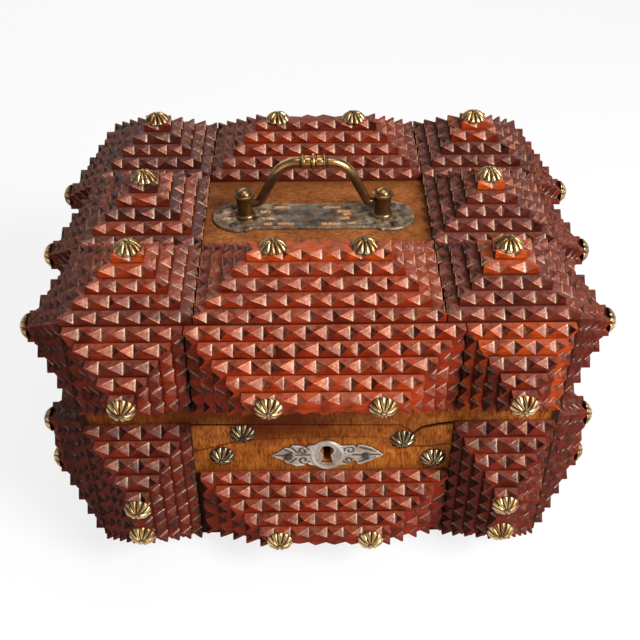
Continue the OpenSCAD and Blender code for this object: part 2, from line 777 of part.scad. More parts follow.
// up = 1 is the base's leaf, whose screws go down; up = -1 the lid's
module hinge_screw_places(up) {
    for (side = [-1, 1]) for (s = [-1, 1])
        translate([side * hinge_x + s * hinge_screw_x, half_d - wall / 2, up > 0 ? base_h : lid_z])
            rotate([up > 0 ? 0 : 180, 0, 0]) children();
}

module lock_case() {
    inner_w = lock_w - 2 * lock_plate;
    shelf_z = bolt_z - bolt_h / 2 - lock_fit / 2;
    color(old_iron) difference() {
        union() {
            difference() {
                translate([lock_x - lock_w / 2, lock_y, lock_top - lock_h]) cube([lock_w, lock_d, lock_h]);
                translate([lock_x - inner_w / 2, lock_y - cut, lock_top - lock_h + lock_plate])
                    cube([inner_w, lock_d - lock_plate + cut, lock_h - 2 * lock_plate]);
            }
            translate([lock_x - inner_w / 2 - lock_plate / 2, lock_y + lock_plate, shelf_z - lock_plate])
                cube([staple_x - staple_t / 2 - 2 * lock_fit - lock_x + inner_w / 2,
                    lock_d - 1.5 * lock_plate, lock_plate]);
            translate([lock_x - lock_w / 2 - lock_ear_w, lock_y, lock_top - lock_h / 2 - lock_ear_h / 2])
                cube([lock_ear_w + lock_plate, lock_plate, lock_ear_h]);
            translate([lock_x + lock_w / 2 - lock_plate, lock_y, lock_top - lock_h / 2 - lock_ear_h / 2])
                cube([lock_ear_w + lock_plate, lock_plate, lock_ear_h]);
        }
        translate([staple_x - staple_t / 2 - lock_fit, lock_y - cut, lock_top - lock_plate - cut])
            cube([staple_t + 2 * lock_fit, bolt_y - lock_y + staple_w / 2 + 3 * lock_fit + cut,
                lock_plate + 2 * cut]);
        lock_screw_places() screw_hole();
    }
}

module lock_bolt() {
    rest_x = staple_x - staple_t / 2 - 2 * lock_fit - bolt_l;
    color(brass) translate([rest_x, bolt_y - bolt_t / 2, bolt_z - bolt_h / 2]) cube([bolt_l, bolt_t, bolt_h]);
}

module lock_staple() {
    color(old_iron) difference() {
        union() {
            translate([staple_x - staple_plate_w / 2, lock_y, lid_z])
                cube([staple_plate_w, lock_plate, staple_plate_h]);
            translate([staple_x - staple_t / 2, lock_y + lock_plate / 2, lid_z])
                cube([staple_t, bolt_y - lock_y + staple_w / 2 - lock_plate / 2, staple_plate_h / 2]);
            translate([staple_x - staple_t / 2, bolt_y - staple_w / 2, staple_low])
                cube([staple_t, staple_w, lid_z + staple_plate_h / 2 - staple_low]);
        }
        translate([staple_x - staple_t, bolt_y - bolt_t / 2 - lock_fit, bolt_z - bolt_h / 2 - lock_fit])
            cube([2 * staple_t, bolt_t + 2 * lock_fit, bolt_h + 2 * lock_fit]);
        staple_screw_places() screw_hole();
    }
}

module base_screws() {
    color(brass) {
        lock_screw_places() screw();
        hinge_screw_places(1) screw();
    }
}
module lid_screws() {
    color(brass) {
        staple_screw_places() screw();
        hinge_screw_places(-1) screw();
    }
}

// Hinges

// One knuckle with the tongue that joins it to its leaf, along X from its middle.
module knuckle(length, tongue_z) {
    translate([-length / 2, hinge_y, hinge_z]) rotate([0, 90, 0]) cylinder(d = knuckle_d, h = length);
    translate([-length / 2, half_d - cut, tongue_z]) cube([length, hinge_y - half_d + cut, leaf_t]);
}

module pin_bore() {
    translate([-hinge_l, hinge_y, hinge_z]) rotate([0, 90, 0])
        cylinder(d = pin_d + 2 * pin_fit, h = 2 * hinge_l);
}

module hinge_base_leaves() {
    end_l = knuckle_l - hinge_fit / 2;
    color(brass) difference() {
        for (side = [-1, 1]) translate([side * hinge_x, 0, 0]) difference() {
            union() {
                translate([-hinge_l / 2, half_d - wall, base_h - leaf_t]) cube([hinge_l, wall, leaf_t]);
                for (s = [-1, 1]) translate([s * (hinge_l - end_l) / 2, 0, 0])
                    knuckle(end_l, base_h - leaf_t);
            }
            pin_bore();
        }
        hinge_screw_places(1) screw_hole();
    }
}

module hinge_lid_leaves() {
    color(brass) difference() {
        for (side = [-1, 1]) translate([side * hinge_x, 0, 0]) difference() {
            union() {
                translate([-hinge_l / 2, half_d - wall, lid_z]) cube([hinge_l, wall, leaf_t]);
                knuckle(knuckle_l - hinge_fit, lid_z);
            }
            pin_bore();
        }
        hinge_screw_places(-1) screw_hole();
    }
}

module hinge_pins() {
    color(old_iron) for (side = [-1, 1])
        translate([side * hinge_x - hinge_l / 2, hinge_y, hinge_z]) rotate([0, 90, 0])
            cylinder(d = pin_d, h = hinge_l);
}

// Handle

module handle_plate() {
    color(old_iron) translate([handle_x, handle_y, lid_top]) difference() {
        union() {
            translate([-handle_end_x, -handle_plate_w / 2, 0])
                cube([2 * handle_end_x, handle_plate_w, plate_t]);
            for (side = [-1, 1]) translate([side * handle_end_x, 0, 0])
                cylinder(d = handle_end_d, h = plate_t);
        }
        for (side = [-1, 1]) translate([side * post_x, 0, -cut])
            cylinder(d = rivet_d + 2 * nail_fit, h = plate_t + 2 * cut);
        for (p = handle_pin_places) translate([p.x, p.y, -cut])
            cylinder(d = shank_d + 2 * nail_fit, h = plate_t + 2 * cut);
    }
}

module handle_pins() {
    color(old_iron) for (p = handle_pin_places) translate([handle_x + p.x, handle_y + p.y, lid_top]) {
        translate([0, 0, -handle_pin_l]) cylinder(d = shank_d, h = handle_pin_l + plate_t);
        translate([0, 0, plate_t]) cylinder(d1 = 2 * shank_d, d2 = shank_d, h = shank_d / 3);
    }
}

// A turned post, riveted under the panel and bored for one of the bail's pivots.
module handle_posts() {
    r = post_d / 2;
    tail = plate_t + lid_panel_t;
    color(brass) for (side = [-1, 1])
        translate([handle_x + side * post_x, handle_y, handle_z]) difference() {
            rotate_extrude() polygon([
                [0, -tail - rivet_head_t], [rivet_d, -tail - rivet_head_t],
                [rivet_d, -tail], [rivet_d / 2, -tail], [rivet_d / 2, 0],
                [r + post_flare, 0], [r + post_flare, post_ring_t], [r, post_foot_h],
                [r, post_h - post_cap_h],
                [r + post_lip, post_h - post_cap_h + post_ease],
                [r + post_lip, post_h - post_dome_h - post_ease],
                [r - post_lip, post_h - post_dome_h],
                [r / 2, post_h - post_ease], [0, post_h]
            ]);
            translate([0, 0, pivot_h]) rotate([0, -90 * side, 0])
                translate([0, 0, -r / 3]) cylinder(d = pivot_d + 2 * pivot_fit, h = post_d);
        }
}

// Half of the bail in its own plane: pivot, elbow, sloping arm and shoulder. The bends
// are a little thicker than the arm, which laps into them.
module bail_half() {
    arm_foot = [elbow_r * sin(arm_slope) - elbow_x, elbow_r * (1 - cos(arm_slope))];
    translate([-post_x, 0, 0]) rotate([0, 90, 0]) cylinder(d = pivot_d, h = post_x - elbow_x + bend_lap);
    translate([-elbow_x, elbow_r, 0]) rotate(-90)
        rotate_extrude(angle = arm_slope) translate([elbow_r, 0]) circle(d = bend_d);
    translate([arm_foot.x, arm_foot.y, 0]) rotate([0, 0, arm_slope]) rotate([0, 90, 0])
        translate([0, 0, -bend_lap]) cylinder(d = rod_d, h = arm_l + 2 * bend_lap);
    translate([-grip_half, bail_reach - shoulder_r, 0]) rotate(90)
        rotate_extrude(angle = arm_slope) translate([shoulder_r, 0]) circle(d = bend_d);
}

// The grip along X: a bead at each end and a taller ring in the middle.
module grip() {
    r = collar_d / 2;
    neck_r = bend_d / 2 + neck_swell;
    bead_r = bend_d / 2 + bead_swell;
    end = grip_half + bend_lap;
    rotate([0, 90, 0]) rotate_extrude() polygon([
        [0, -end], [bead_r - bead_ease, -end], [bead_r, bead_ease - end], [bead_r, bead_l - end],
        [neck_r, bead_l + 2 * bead_ease - end], [neck_r, -collar_l], [r, -collar_l / 2],
        [r, collar_l / 2], [neck_r, collar_l], [neck_r, end - bead_l - 2 * bead_ease],
        [bead_r, end - bead_l], [bead_r, end - bead_ease], [bead_r - bead_ease, end], [0, end]
    ]);
}

module handle_bail() {
    color(brass) translate([handle_x, handle_y, handle_z + pivot_h]) rotate([90 - bail_lean, 0, 0]) {
        for (turn = [0, 180]) rotate([0, turn, 0]) bail_half();
        translate([0, bail_reach, 0]) grip();
    }
}

base_bottom();
base_front_board();
base_back_board();
base_left_board();
base_right_board();
base_front_left_stack();
base_front_centre_stack();
base_front_right_stack();
base_left_front_stack();
base_left_middle_stack();
base_left_rear_stack();
base_right_front_stack();
base_right_middle_stack();
base_right_rear_stack();
base_back_left_stack();
base_back_centre_stack();
base_back_right_stack();
base_studs();
rail_studs();
escutcheon();
escutcheon_nails();
lock_case();
lock_bolt();
lock_staple();
base_screws();
lid_screws();
hinge_base_leaves();
hinge_lid_leaves();
hinge_pins();
lid_panel();
lid_front_board();
lid_back_board();
lid_left_board();
lid_right_board();
lid_top_front_left_stack();
lid_top_front_centre_stack();
lid_top_front_right_stack();
lid_top_middle_left_stack();
lid_top_middle_right_stack();
lid_top_back_left_stack();
lid_top_back_centre_stack();
lid_top_back_right_stack();
lid_front_left_stack();
lid_front_centre_stack();
lid_front_right_stack();
lid_left_front_stack();
lid_left_middle_stack();
lid_left_rear_stack();
lid_right_front_stack();
lid_right_middle_stack();
lid_right_rear_stack();
lid_back_left_stack();
lid_back_centre_stack();
lid_back_right_stack();
lid_studs();
handle_plate();
handle_posts();
handle_pins();
handle_bail();
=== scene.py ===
"""Looks of a chip-carved casket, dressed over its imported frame. Sizes are in millimetres."""
import functools

import bmesh
import bpy
import mathutils
import numpy as np
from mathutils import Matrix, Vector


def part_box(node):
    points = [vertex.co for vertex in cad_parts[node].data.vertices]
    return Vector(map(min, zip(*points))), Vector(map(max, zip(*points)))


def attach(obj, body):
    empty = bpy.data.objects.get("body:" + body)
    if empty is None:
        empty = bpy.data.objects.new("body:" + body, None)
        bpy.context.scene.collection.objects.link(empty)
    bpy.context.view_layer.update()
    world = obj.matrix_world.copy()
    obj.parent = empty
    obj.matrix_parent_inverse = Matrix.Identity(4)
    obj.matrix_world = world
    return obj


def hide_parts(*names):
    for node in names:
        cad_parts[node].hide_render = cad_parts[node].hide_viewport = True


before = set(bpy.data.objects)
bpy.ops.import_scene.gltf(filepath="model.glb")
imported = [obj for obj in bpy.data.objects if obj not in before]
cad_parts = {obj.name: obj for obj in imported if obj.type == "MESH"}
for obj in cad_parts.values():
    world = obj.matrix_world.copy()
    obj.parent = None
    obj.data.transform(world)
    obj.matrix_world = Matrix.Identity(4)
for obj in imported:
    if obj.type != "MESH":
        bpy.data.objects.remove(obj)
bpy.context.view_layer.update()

MM = 0.001

# The carving, as hand work leaves it: boards, cuts, tips, and the tones of walls and boards
CARVER_SEED = 11
BOARDS = 5
GLUE_LINE = 0.1
NOTCH_PITCH = 9.4
NOTCH_WANDER = 0.1
NOTCH_LEAN = 0.15
NOTCH_LAND = (0.05, 0.45)
NOTCH_FLOOR = 0.7
NOTCH_BACK = 1.4
NOTCH_MARGIN = 0.4
NOTCH_SHARE = 3.2
NOTCH_EVEN = 0.86
RIM_MARGIN = 0.15
END_LAND = 0.8
CUT_LEAN = (1, -1, -1, 1)
TORN_CUT = 0.6
WALL_SCOOP = (-0.12, 0.3)
TIP_WEAR = 0.4
TIP_CHIP = (0.6, 1.4)
CHIP_SHARE = 0.08
WALL_TONE = {"lid": 0.12, "base": -0.03}
WALL_RED = 0.74
WALL_STRAY = 0.22
# Painted shade on faces that look sideways: its share on right-facing faces, and how much more the lowest
# board gets
RIGHT_SHADE = 0.62
LOW_BOARD_SHADE = 1.8
BOARD_TONE = 0.03
BOARD_STRAY = 0.22
BOARD_TURN = 0.006
NO_BOARD = (-9, -9)

# The metalwork: studs, keyhole plate, handle plate, posts and bail
STUD_R = 6.5
STUD_H = 4.4
STUD_RIM = 0.5
STUD_FLUTE = 0.95
STUD_PETALS = 11
LOCK_X = 3.5
ESCUTCHEON_Z = 61.0
KEYHOLE_RISE = 4.0
KEYHOLE_R = 3.4
KEYHOLE_DROP = 9.2
ARM_NAIL_X = 19.0
BOSS_R = 10.4
BOSS_HALF_W = 8.8
HANDLE_X = -1.8
HANDLE_Y = -4.0
PLATE_T = 1.4
PLATE_HALF_L = 51.0
PLATE_HALF_W = 11.0
PLATE_END_R = 13.0
PLATE_EAR_X = 33.5
PLATE_SEED = 5
PLATE_SCREW = (40.0, -8.0)
COPPER_DASHES = (
    (-20, -12, 7.4), (5, 14, 7.4), (-27, -22, 3.6), (12, 20, 3.4), (-26, -19, -2.6), (13, 18, -2.8),
    (-25, -21, -7.2), (-18, -10, -7.2), (4, 13, -7.4), (17, 21, -7.0), (15, 19, 0.6))
COPPER_DROPS = (3.2, -2.4)
POST_X = 34.5
PIVOT_H = 7.5
BAIL_REACH = 23.0
ARM_SLOPE = 63.0
ELBOW_R = 4.0
ELBOW_X = 29.6
GRIP_HALF = 7.0

# Outward frames of the box's five dressed faces: along, up the face, and out of it
FACES = {
    "top": ((1, 0, 0), (0, 1, 0), (0, 0, 1)),
    "front": ((1, 0, 0), (0, 0, 1), (0, -1, 0)),
    "back": ((-1, 0, 0), (0, 0, 1), (0, 1, 0)),
    "left": ((0, -1, 0), (0, 0, 1), (-1, 0, 0)),
    "right": ((0, 1, 0), (0, 0, 1), (1, 0, 0)),
}


# Helpers

def linear(code):
    """An sRGB hex code as linear red, green, blue and a full alpha."""
    channel = np.array([int(code[i:i + 2], 16) for i in (1, 3, 5)]) / 255
    low = channel / 12.92
    high = ((channel + 0.055) / 1.055) ** 2.4
    return (*np.where(channel <= 0.04045, low, high).tolist(), 1.0)


def add_node(tree, kind, links, out=0, **settings):
    """Adds a node with its settings and its inputs, which are values, hex codes or sockets.

    Gives one of its outputs, if it has any.
    """
    made = tree.nodes.new("ShaderNode" + kind)
    for name, value in settings.items():
        setattr(made, name, value)
    for key, value in links.items():
        if isinstance(value, bpy.types.NodeSocket):
            tree.links.new(value, made.inputs[key])
        else:
            made.inputs[key].default_value = linear(value) if isinstance(value, str) else value
    return made.outputs[out] if made.outputs else None


def new_material(name):
    """A material with an empty node tree, and the function that adds nodes to it."""
    material = bpy.data.materials.new(name)
    material.use_nodes = True
    material.node_tree.nodes.clear()
    return material, functools.partial(add_node, material.node_tree)


def paint(mesh, name, values):
    """Stores a number, vector or colour for each point, or else for each face, as an attribute."""
    kinds = {1: ("FLOAT", "value"), 3: ("FLOAT_VECTOR", "vector"), 4: ("FLOAT_COLOR", "color")}
    kind, field = kinds[np.size(values[0])]
    domain = "POINT" if len(values) == len(mesh.vertices) else "FACE"
    attribute = mesh.attributes.new(name, kind, domain)
    attribute.data.foreach_set(field, np.ravel(values).astype(np.float32))


def stand(name, data):
    """A new object of the scene, at the origin."""
    made = bpy.data.objects.new(name, data)
    bpy.context.scene.collection.objects.link(made)
    return made


def piece(name, points, faces, body, slot, material, node, smooth, **marks):
    """A mesh piece from points in mm that rides on a body and stands for a CAD node, if one is named.

    Its faces are turned outwards. Edges sharper than smooth, in degrees, stay sharp, and the marks
    are its attributes.
    """
    mesh = bpy.data.meshes.new(name)
    mesh.from_pydata((points * MM).tolist(), [], faces)
    shell = bmesh.new()
    shell.from_mesh(mesh)
    bmesh.ops.recalc_face_normals(shell, faces=shell.faces)
    shell.to_mesh(mesh)
    shell.free()
    mesh.materials.append(material)
    mesh.shade_smooth()
    mesh.set_sharp_from_angle(angle=np.radians(smooth))
    for mark, values in marks.items():
        paint(mesh, mark, values)
    made = stand(name, mesh)
    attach(made, body)
    if node:
        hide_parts(node)
    return mesh


def grid_faces(rows, columns, first=0, closed=True):
    """Quads of a grid of points held row by row; closed joins the last column to the first."""
    row, column = np.mgrid[0:rows - 1, 0:columns if closed else columns - 1]
    after = (column + 1) % columns
    near, far = first + row * columns, first + (row + 1) * columns
    return np.stack([near + column, near + after, far + after, far + column], -1).reshape(-1, 4)


def turned(radius, height, turn):
    """A grid of points: rows of radius and height, carried round by the angles of turn."""
    return np.stack([radius * np.cos(turn), radius * np.sin(turn), height + 0 * turn], -1)


def full_turn(count):
    """Even angles once round, as a row."""
    return np.linspace(0, 2 * np.pi, count, endpoint=False)[None, :]


def slab(top, mirrored=False):
    """A closed shell under a grid of points: the grid, walls straight down to height 0, and a foot.

    Mirrored is for a grid that runs from right to left. Gives the points, the faces and how many
    points the foot has, which are the last ones.
    """
    rows, columns = top.shape[:2]
    index = np.arange(rows * columns).reshape(rows, columns)
    border = np.concatenate([index[0], index[1:, -1], index[-1, -2::-1], index[-2:0:-1, 0]])
    foot = rows * columns + np.arange(len(border))
    shell = top.reshape(-1, 3)
    face = grid_faces(rows, columns, closed=False)
    faces = (face if mirrored else face[:, ::-1]).tolist()
    faces += np.c_[border, np.roll(border, -1), np.roll(foot, -1), foot].tolist()
    faces.append(foot[::-1].tolist())
    return np.concatenate([shell, shell[border] * [1, 1, 0]]), faces, len(border)


def smoothstep(low, high, value):
    """The cubic that rises from 0 at low to 1 at high."""
    share = np.clip((value - low) / (high - low), 0, 1)
    return share * share * (3 - 2 * share)


def bell(value, middle, width):
    """The bell curve that is 1 at the middle and falls to 1 / e at a width from it."""
    return np.exp(-((value - middle) / width) ** 2)


# Materials

DRY_WOOD = {"IOR": 1.5, "Specular IOR Level": 0.05}


def stained_mahogany():
    """Cigar-box mahogany, stained, shellacked and notched with a knife.

    The eye sees red faces with a low gloss that differ from board to board, paler scraped knife
    cuts whose valleys have worn to bare wood, with painted light on the clean walls, painted shade
    on the torn ones and a painted orange highlight on wood rubbed bare along the clean walls' outer
    edges, grey dust on what looks up, painted shade on what looks sideways, and painted shade with
    some dirt in the inner corners.
    """
    material, add = new_material("stained_mahogany")
    tone, cut, up, side_shade = (
        add("Attribute", {}, "Fac", attribute_name=name) for name in ("tone", "cut", "up", "side_shade"))
    place, half = (add("Attribute", {}, "Vector", attribute_name=name) for name in ("spot", "half"))
    share = add("Attribute", {}, "Color", attribute_name="share")
    tip, top_share, low_share = add("SeparateColor", {0: share}).node.outputs
    level = add("SeparateXYZ", {0: place}, "Z")

    # How far inside the outline of the next board a point is
    inside = add("VectorMath", {0: place}, operation="ABSOLUTE")
    inside = add("VectorMath", {0: half, 1: inside}, operation="SUBTRACT")
    room = add("SeparateXYZ", {0: inside}).node.outputs
    nearest = add("Math", {0: room["X"], 1: room["Y"]}, operation="MINIMUM")

    # Grain 0.9 mm wide and 14 mm long, grime in 8 mm patches, dust in 2.4 mm specks and knife
    # scrapes 1.1 mm wide, each board and wall at its own place in the pattern
    own = add("Math", {0: tone, 1: 60.0}, operation="MULTIPLY")
    along = add("Mapping", {"Vector": place, "Scale": (1 / 14, 1 / 0.9, 1 / 0.9)})
    grain, patch, speck, scrape = (
        add("TexNoise", {"Vector": spot, "W": own, "Scale": 1 / size, "Detail": detail},
            noise_dimensions="4D")
        for spot, size, detail in ((along, 1, 4.0), (place, 8, 5.0), (place, 2.4, 4.0), (place, 1.1, 5.0)))

    # Each effect: what it follows, two values of that, and the effect's share at each, if not 0 and 1
    effects = dict(
        # Stained faces
        red=(tone, 0.0, 0.62),
        fresh=(tone, 0.62, 1.0),
        streak=(grain, 0.3, 0.7, 0.6, 1.25),
        grime=(patch, 0.44, 0.66, 0.0, 0.75),
        dust=(speck, 0.35, 0.75, 0.1, 0.8),
        lie=(up, 0.0, 1.0, 0.08, 1.0),
        # Painted shade in patches on faces that look sideways
        painted_side_shade=(speck, 0.36, 0.66, 0.98, 0.28),
        # Knife cuts: painted light on the clean walls and painted shade on the torn ones
        lit=(cut, 0.65, 0.95),
        open=(cut, 0.0, 0.5),
        reach=(tip, 0.3, 0.95, 0.0, 0.8),
        rub=(scrape, 0.3, 0.7, 0.5, 1.4),
        cover=(speck, 0.3, 0.62, 0.4, 1.0),
        # The clean wall's outer edge: a painted orange highlight on wood rubbed bare
        edge=(top_share, 0.13, 0.02, 0.0, 0.8),
        chip=(speck, 0.4, 0.6),
        clean=(side_shade, 0.0, 1.0, 1.0, 0.65),
        # The valley, worn to bare wood, most of all at its lower end
        ragged=(scrape, 0.3, 0.7, 0.03, 0.24),
        worn=(low_share, 0.0, 0.8, 0.45, 1.0),
        broken=(patch, 0.42, 0.6, 0.95, 0.15),
        # Painted shade with some dirt within 0.5 mm of a board's foot, and within 0.8 mm of the
        # board that stands on it
        foot=(level, 0.1, 0.5, 1.0, 0.0),
        corner=(nearest, -0.8, -0.1),
        shade_and_dirt_patches=(speck, 0.35, 0.6, 0.25, 0.85),
    )
    on = {name: add("MapRange", dict(enumerate(row))) for name, row in effects.items()}
    on["side_shade"] = side_shade
    on["valley"] = add("MapRange", {0: tip, 1: on["ragged"], 2: 0.0})
    held_back = dict(dust="lie", painted_side_shade="side_shade", cover="open", edge="lit chip clean",
                     valley="worn open broken clean", foot="shade_and_dirt_patches", corner="shade_and_dirt_patches")
    for name, factors in held_back.items():
        for factor in factors.split():
            on[name] = add("Math", {0: on[name], 1: on[factor]}, operation="MULTIPLY")

    # Grey dust, and the cut walls' colours: near with painted light for the clean walls, far with painted
    # shade for the torn ones
    grey, near, far = (
        add("Mix", {0: share, 6: dull, 7: bright}, 2, data_type="RGBA")
        for share, dull, bright in (
            (on["red"], "#6c504b", "#96604c"), (tone, "#6a4d49", "#cf8a70"), (tone, "#47221b", "#a15a44")))
    stain = "#42231e"
    for share, coat, blend in (
            (on["red"], "#8f2607", "MIX"), (on["fresh"], "#d8560f", "MIX"),
            (1.0, on["streak"], "MULTIPLY"), (on["grime"], "#380a03", "MIX"),
            (on["dust"], grey, "MIX"), (on["painted_side_shade"], "#1c0706", "MIX")):
        stain = add("Mix", {0: share, 6: stain, 7: coat}, 2, data_type="RGBA", blend_type=blend)
    bare = far
    for share, coat, blend in (
            (on["lit"], near, "MIX"), (on["reach"], stain, "MIX"),
            (on["painted_side_shade"], "#2c1714", "MIX"), (1.0, on["rub"], "MULTIPLY")):
        bare = add("Mix", {0: share, 6: bare, 7: coat}, 2, data_type="RGBA", blend_type=blend)
    # Over the stain: bare wood on the cuts, the painted orange highlight on the clean walls' edges, worn
    # valleys, and painted shade with some dirt at the boards' feet and inner corners
    colour = stain
    for share, coat in (
            (on["cover"], bare), (on["edge"], "#d9925f"), (on["valley"], "#e9cdb2"),
            (on["foot"], "#360d05"), (on["corner"], "#2c0d06")):
        colour = add("Mix", {0: share, 6: colour, 7: coat}, 2, data_type="RGBA")

    rough = add("MapRange", {0: on["cover"], 1: 0.0, 2: 1.0, 3: 0.36, 4: 0.6})
    relief = add("Mix", {0: on["open"], 2: grain, 3: scrape}, 0)
    bump = add("Bump", {"Height": relief, "Strength": 0.45, "Distance": 0.3 * MM})
    shader = add("BsdfPrincipled", {
        "Base Color": colour, "Roughness": rough, "Normal": bump, **DRY_WOOD})
    add("OutputMaterial", {"Surface": shader})
    return material


def oiled_cedar(name, along, run, streaky, dark, light, open_boxes, smudges=(), edge=None):
    """Thin sawn cedar, oiled and handled, and stained dark outside the part that stays in view.

    The eye sees streaks along one axis, as long as the run in mm and as strong as streaky says,
    hair-fine fibres, darker patches where hands and dirt have been, and hardly any sheen. Open
    boxes, by their lower and upper corners in mm, were never stained, and get painted shade with
    some dirt towards their edges. Smudges lists darker smudges: where along x in mm each sets in,
    is full and has faded out, the heights between which it grows, and its strength. The edge
    attribute, if there is one, is 1 where a shadow is painted along the wood's edges.
    """
    material, add = new_material(name)
    place = add("TexCoord", {}, "Object")
    sideways, _, height = add("SeparateXYZ", {0: place}).node.outputs
    stretched = []
    for wide, long in ((0.8, run), (0.45, run / 6)):
        size = np.full(3, wide * MM)
        size[along] = long * MM
        stretched.append(add("Mapping", {"Vector": place, "Scale": (1 / size).tolist()}))
    grain, fibre, patch, blot = (
        add("TexNoise", {"Vector": spot, "Scale": 1 / size, "Detail": detail, "Distortion": bend})
        for spot, size, detail, bend in (
            (stretched[0], 1, 4.0, 0.3), (stretched[1], 1, 2.0, 0.0),
            (place, 22 * MM, 4.0, 0.0), (place, 6 * MM, 5.0, 0.0)))
    streak, broad, thread, grime, rough = (add("MapRange", dict(enumerate(row))) for row in (
        (grain, 0.35, 0.68, 0.5 - streaky / 2, 0.5 + streaky / 2), (blot, 0.35, 0.65, -0.18, 0.18),
        (fibre, 0.3, 0.7, 0.76, 1.2), (patch, 0.46, 0.72, 0.0, 0.6), (fibre, 0.3, 0.7, 0.5, 0.66)))
    streak = add("Math", {0: streak, 1: broad}, operation="ADD", use_clamp=True)
    coats = [(streak, light, "MIX"), (1.0, thread, "MULTIPLY"), (grime, "#5e2c0c", "MIX")]

    # Darker smudges along x and up the height; the rail's one under the lid's edge is painted shade
    for start, full, end, low, high, strength in smudges:
        dirt = strength
        for row in ((sideways, start, full), (sideways, end, full), (height, low, high)):
            limits = {0: row[0], 1: row[1] * MM, 2: row[2] * MM}
            dirt = add("Math", {0: dirt, 1: add("MapRange", limits)}, operation="MULTIPLY")
        coats.append((dirt, "#561d02", "MIX"))
    # Painted shadow along the wood's edges, where the edge attribute says
    if edge:
        painted_edge_shadow = add("Attribute", {}, "Fac", attribute_name=edge)
        coats.append((painted_edge_shadow, "#2b1307", "MIX"))

    # How far inside an open box a point is: painted shade with some dirt towards the edge over
    # 12 mm, stain over 1.5 mm
    nearest = -1.0
    for low, high in np.array(open_boxes) * MM:
        inside = add("VectorMath", {0: place, 1: ((low + high) / 2).tolist()}, operation="SUBTRACT")
        inside = add("VectorMath", {0: inside}, operation="ABSOLUTE")
        inside = add("VectorMath", {0: ((high - low) / 2).tolist(), 1: inside}, operation="SUBTRACT")
        closest, *others = add("SeparateXYZ", {0: inside}).node.outputs
        for room in others:
            closest = add("Math", {0: closest, 1: room}, operation="MINIMUM")
        nearest = add("Math", {0: closest, 1: nearest}, operation="MAXIMUM")
    for reach, most, tint in ((12, 0.6, "#54260a"), (1.5, 0.94, "#2a130c")):
        share = add("MapRange", {0: nearest, 1: 0.0, 2: reach * MM, 3: most, 4: 0.0})
        coats.append((share, tint, "MIX"))

    colour = dark
    for share, coat, blend in coats:
        colour = add("Mix", {0: share, 6: colour, 7: coat}, 2, data_type="RGBA", blend_type=blend)
    bump = add("Bump", {"Height": fibre, "Strength": 0.3, "Distance": 0.15 * MM})
    shader = add("BsdfPrincipled", {
        "Base Color": colour, "Roughness": rough, "Normal": bump, **DRY_WOOD})
    add("OutputMaterial", {"Surface": shader})
    return material


def aged_metal(name, bright, dull, soil, grit, roughness, metallic, worn=None):
    """Old metal: bright where it is rubbed, dull between, with soil in its hollows.

    The eye sees polished ridges over a patchy tarnish, dark lines in the grooves and fine
    pits as wide as the grit in mm. Soil and an oxide film make it less metallic. The worn
    attribute, where a piece has one, is 0 in a hollow and 1 on a ridge.
    """
    material, add = new_material(name)
    place = add("TexCoord", {}, "Object")
    patch, pit = (
        add("TexNoise", {"Vector": place, "Scale": 1 / (size * MM), "Detail": detail})
        for size, detail in ((6 * grit, 5.0), (grit, 4.0)))
    tarnish, speck, dirty, rough = (add("MapRange", dict(enumerate(row))) for row in (
        (patch, 0.38, 0.66), (pit, 0.3, 0.7, 0.7, 1.12), (pit, 0.6, 0.8, 0.0, 0.8),
        (patch, 0.3, 0.7, roughness, roughness + 0.22)))
    if worn:
        ridge = add("Attribute", {}, "Fac", attribute_name=worn)
        groove = add("MapRange", {0: ridge, 1: 0.15, 2: 0.7, 3: 1.0, 4: 0.0})
        dirty = add("Math", {0: dirty, 1: groove}, operation="MAXIMUM")
    colour = bright
    for share, coat, blend in ((tarnish, dull, "MIX"), (1.0, speck, "MULTIPLY"), (dirty, soil, "MIX")):
        colour = add("Mix", {0: share, 6: colour, 7: coat}, 2, data_type="RGBA", blend_type=blend)
    metal = add("MapRange", {0: dirty, 1: 0.0, 2: 1.0, 3: metallic, 4: 0.6 * metallic})
    bump = add("Bump", {"Height": pit, "Strength": 0.2, "Distance": 0.08 * MM})
    shader = add("BsdfPrincipled", {
        "Base Color": colour, "Metallic": metal, "Roughness": rough, "Normal": bump})
    add("OutputMaterial", {"Surface": shader})
    return material


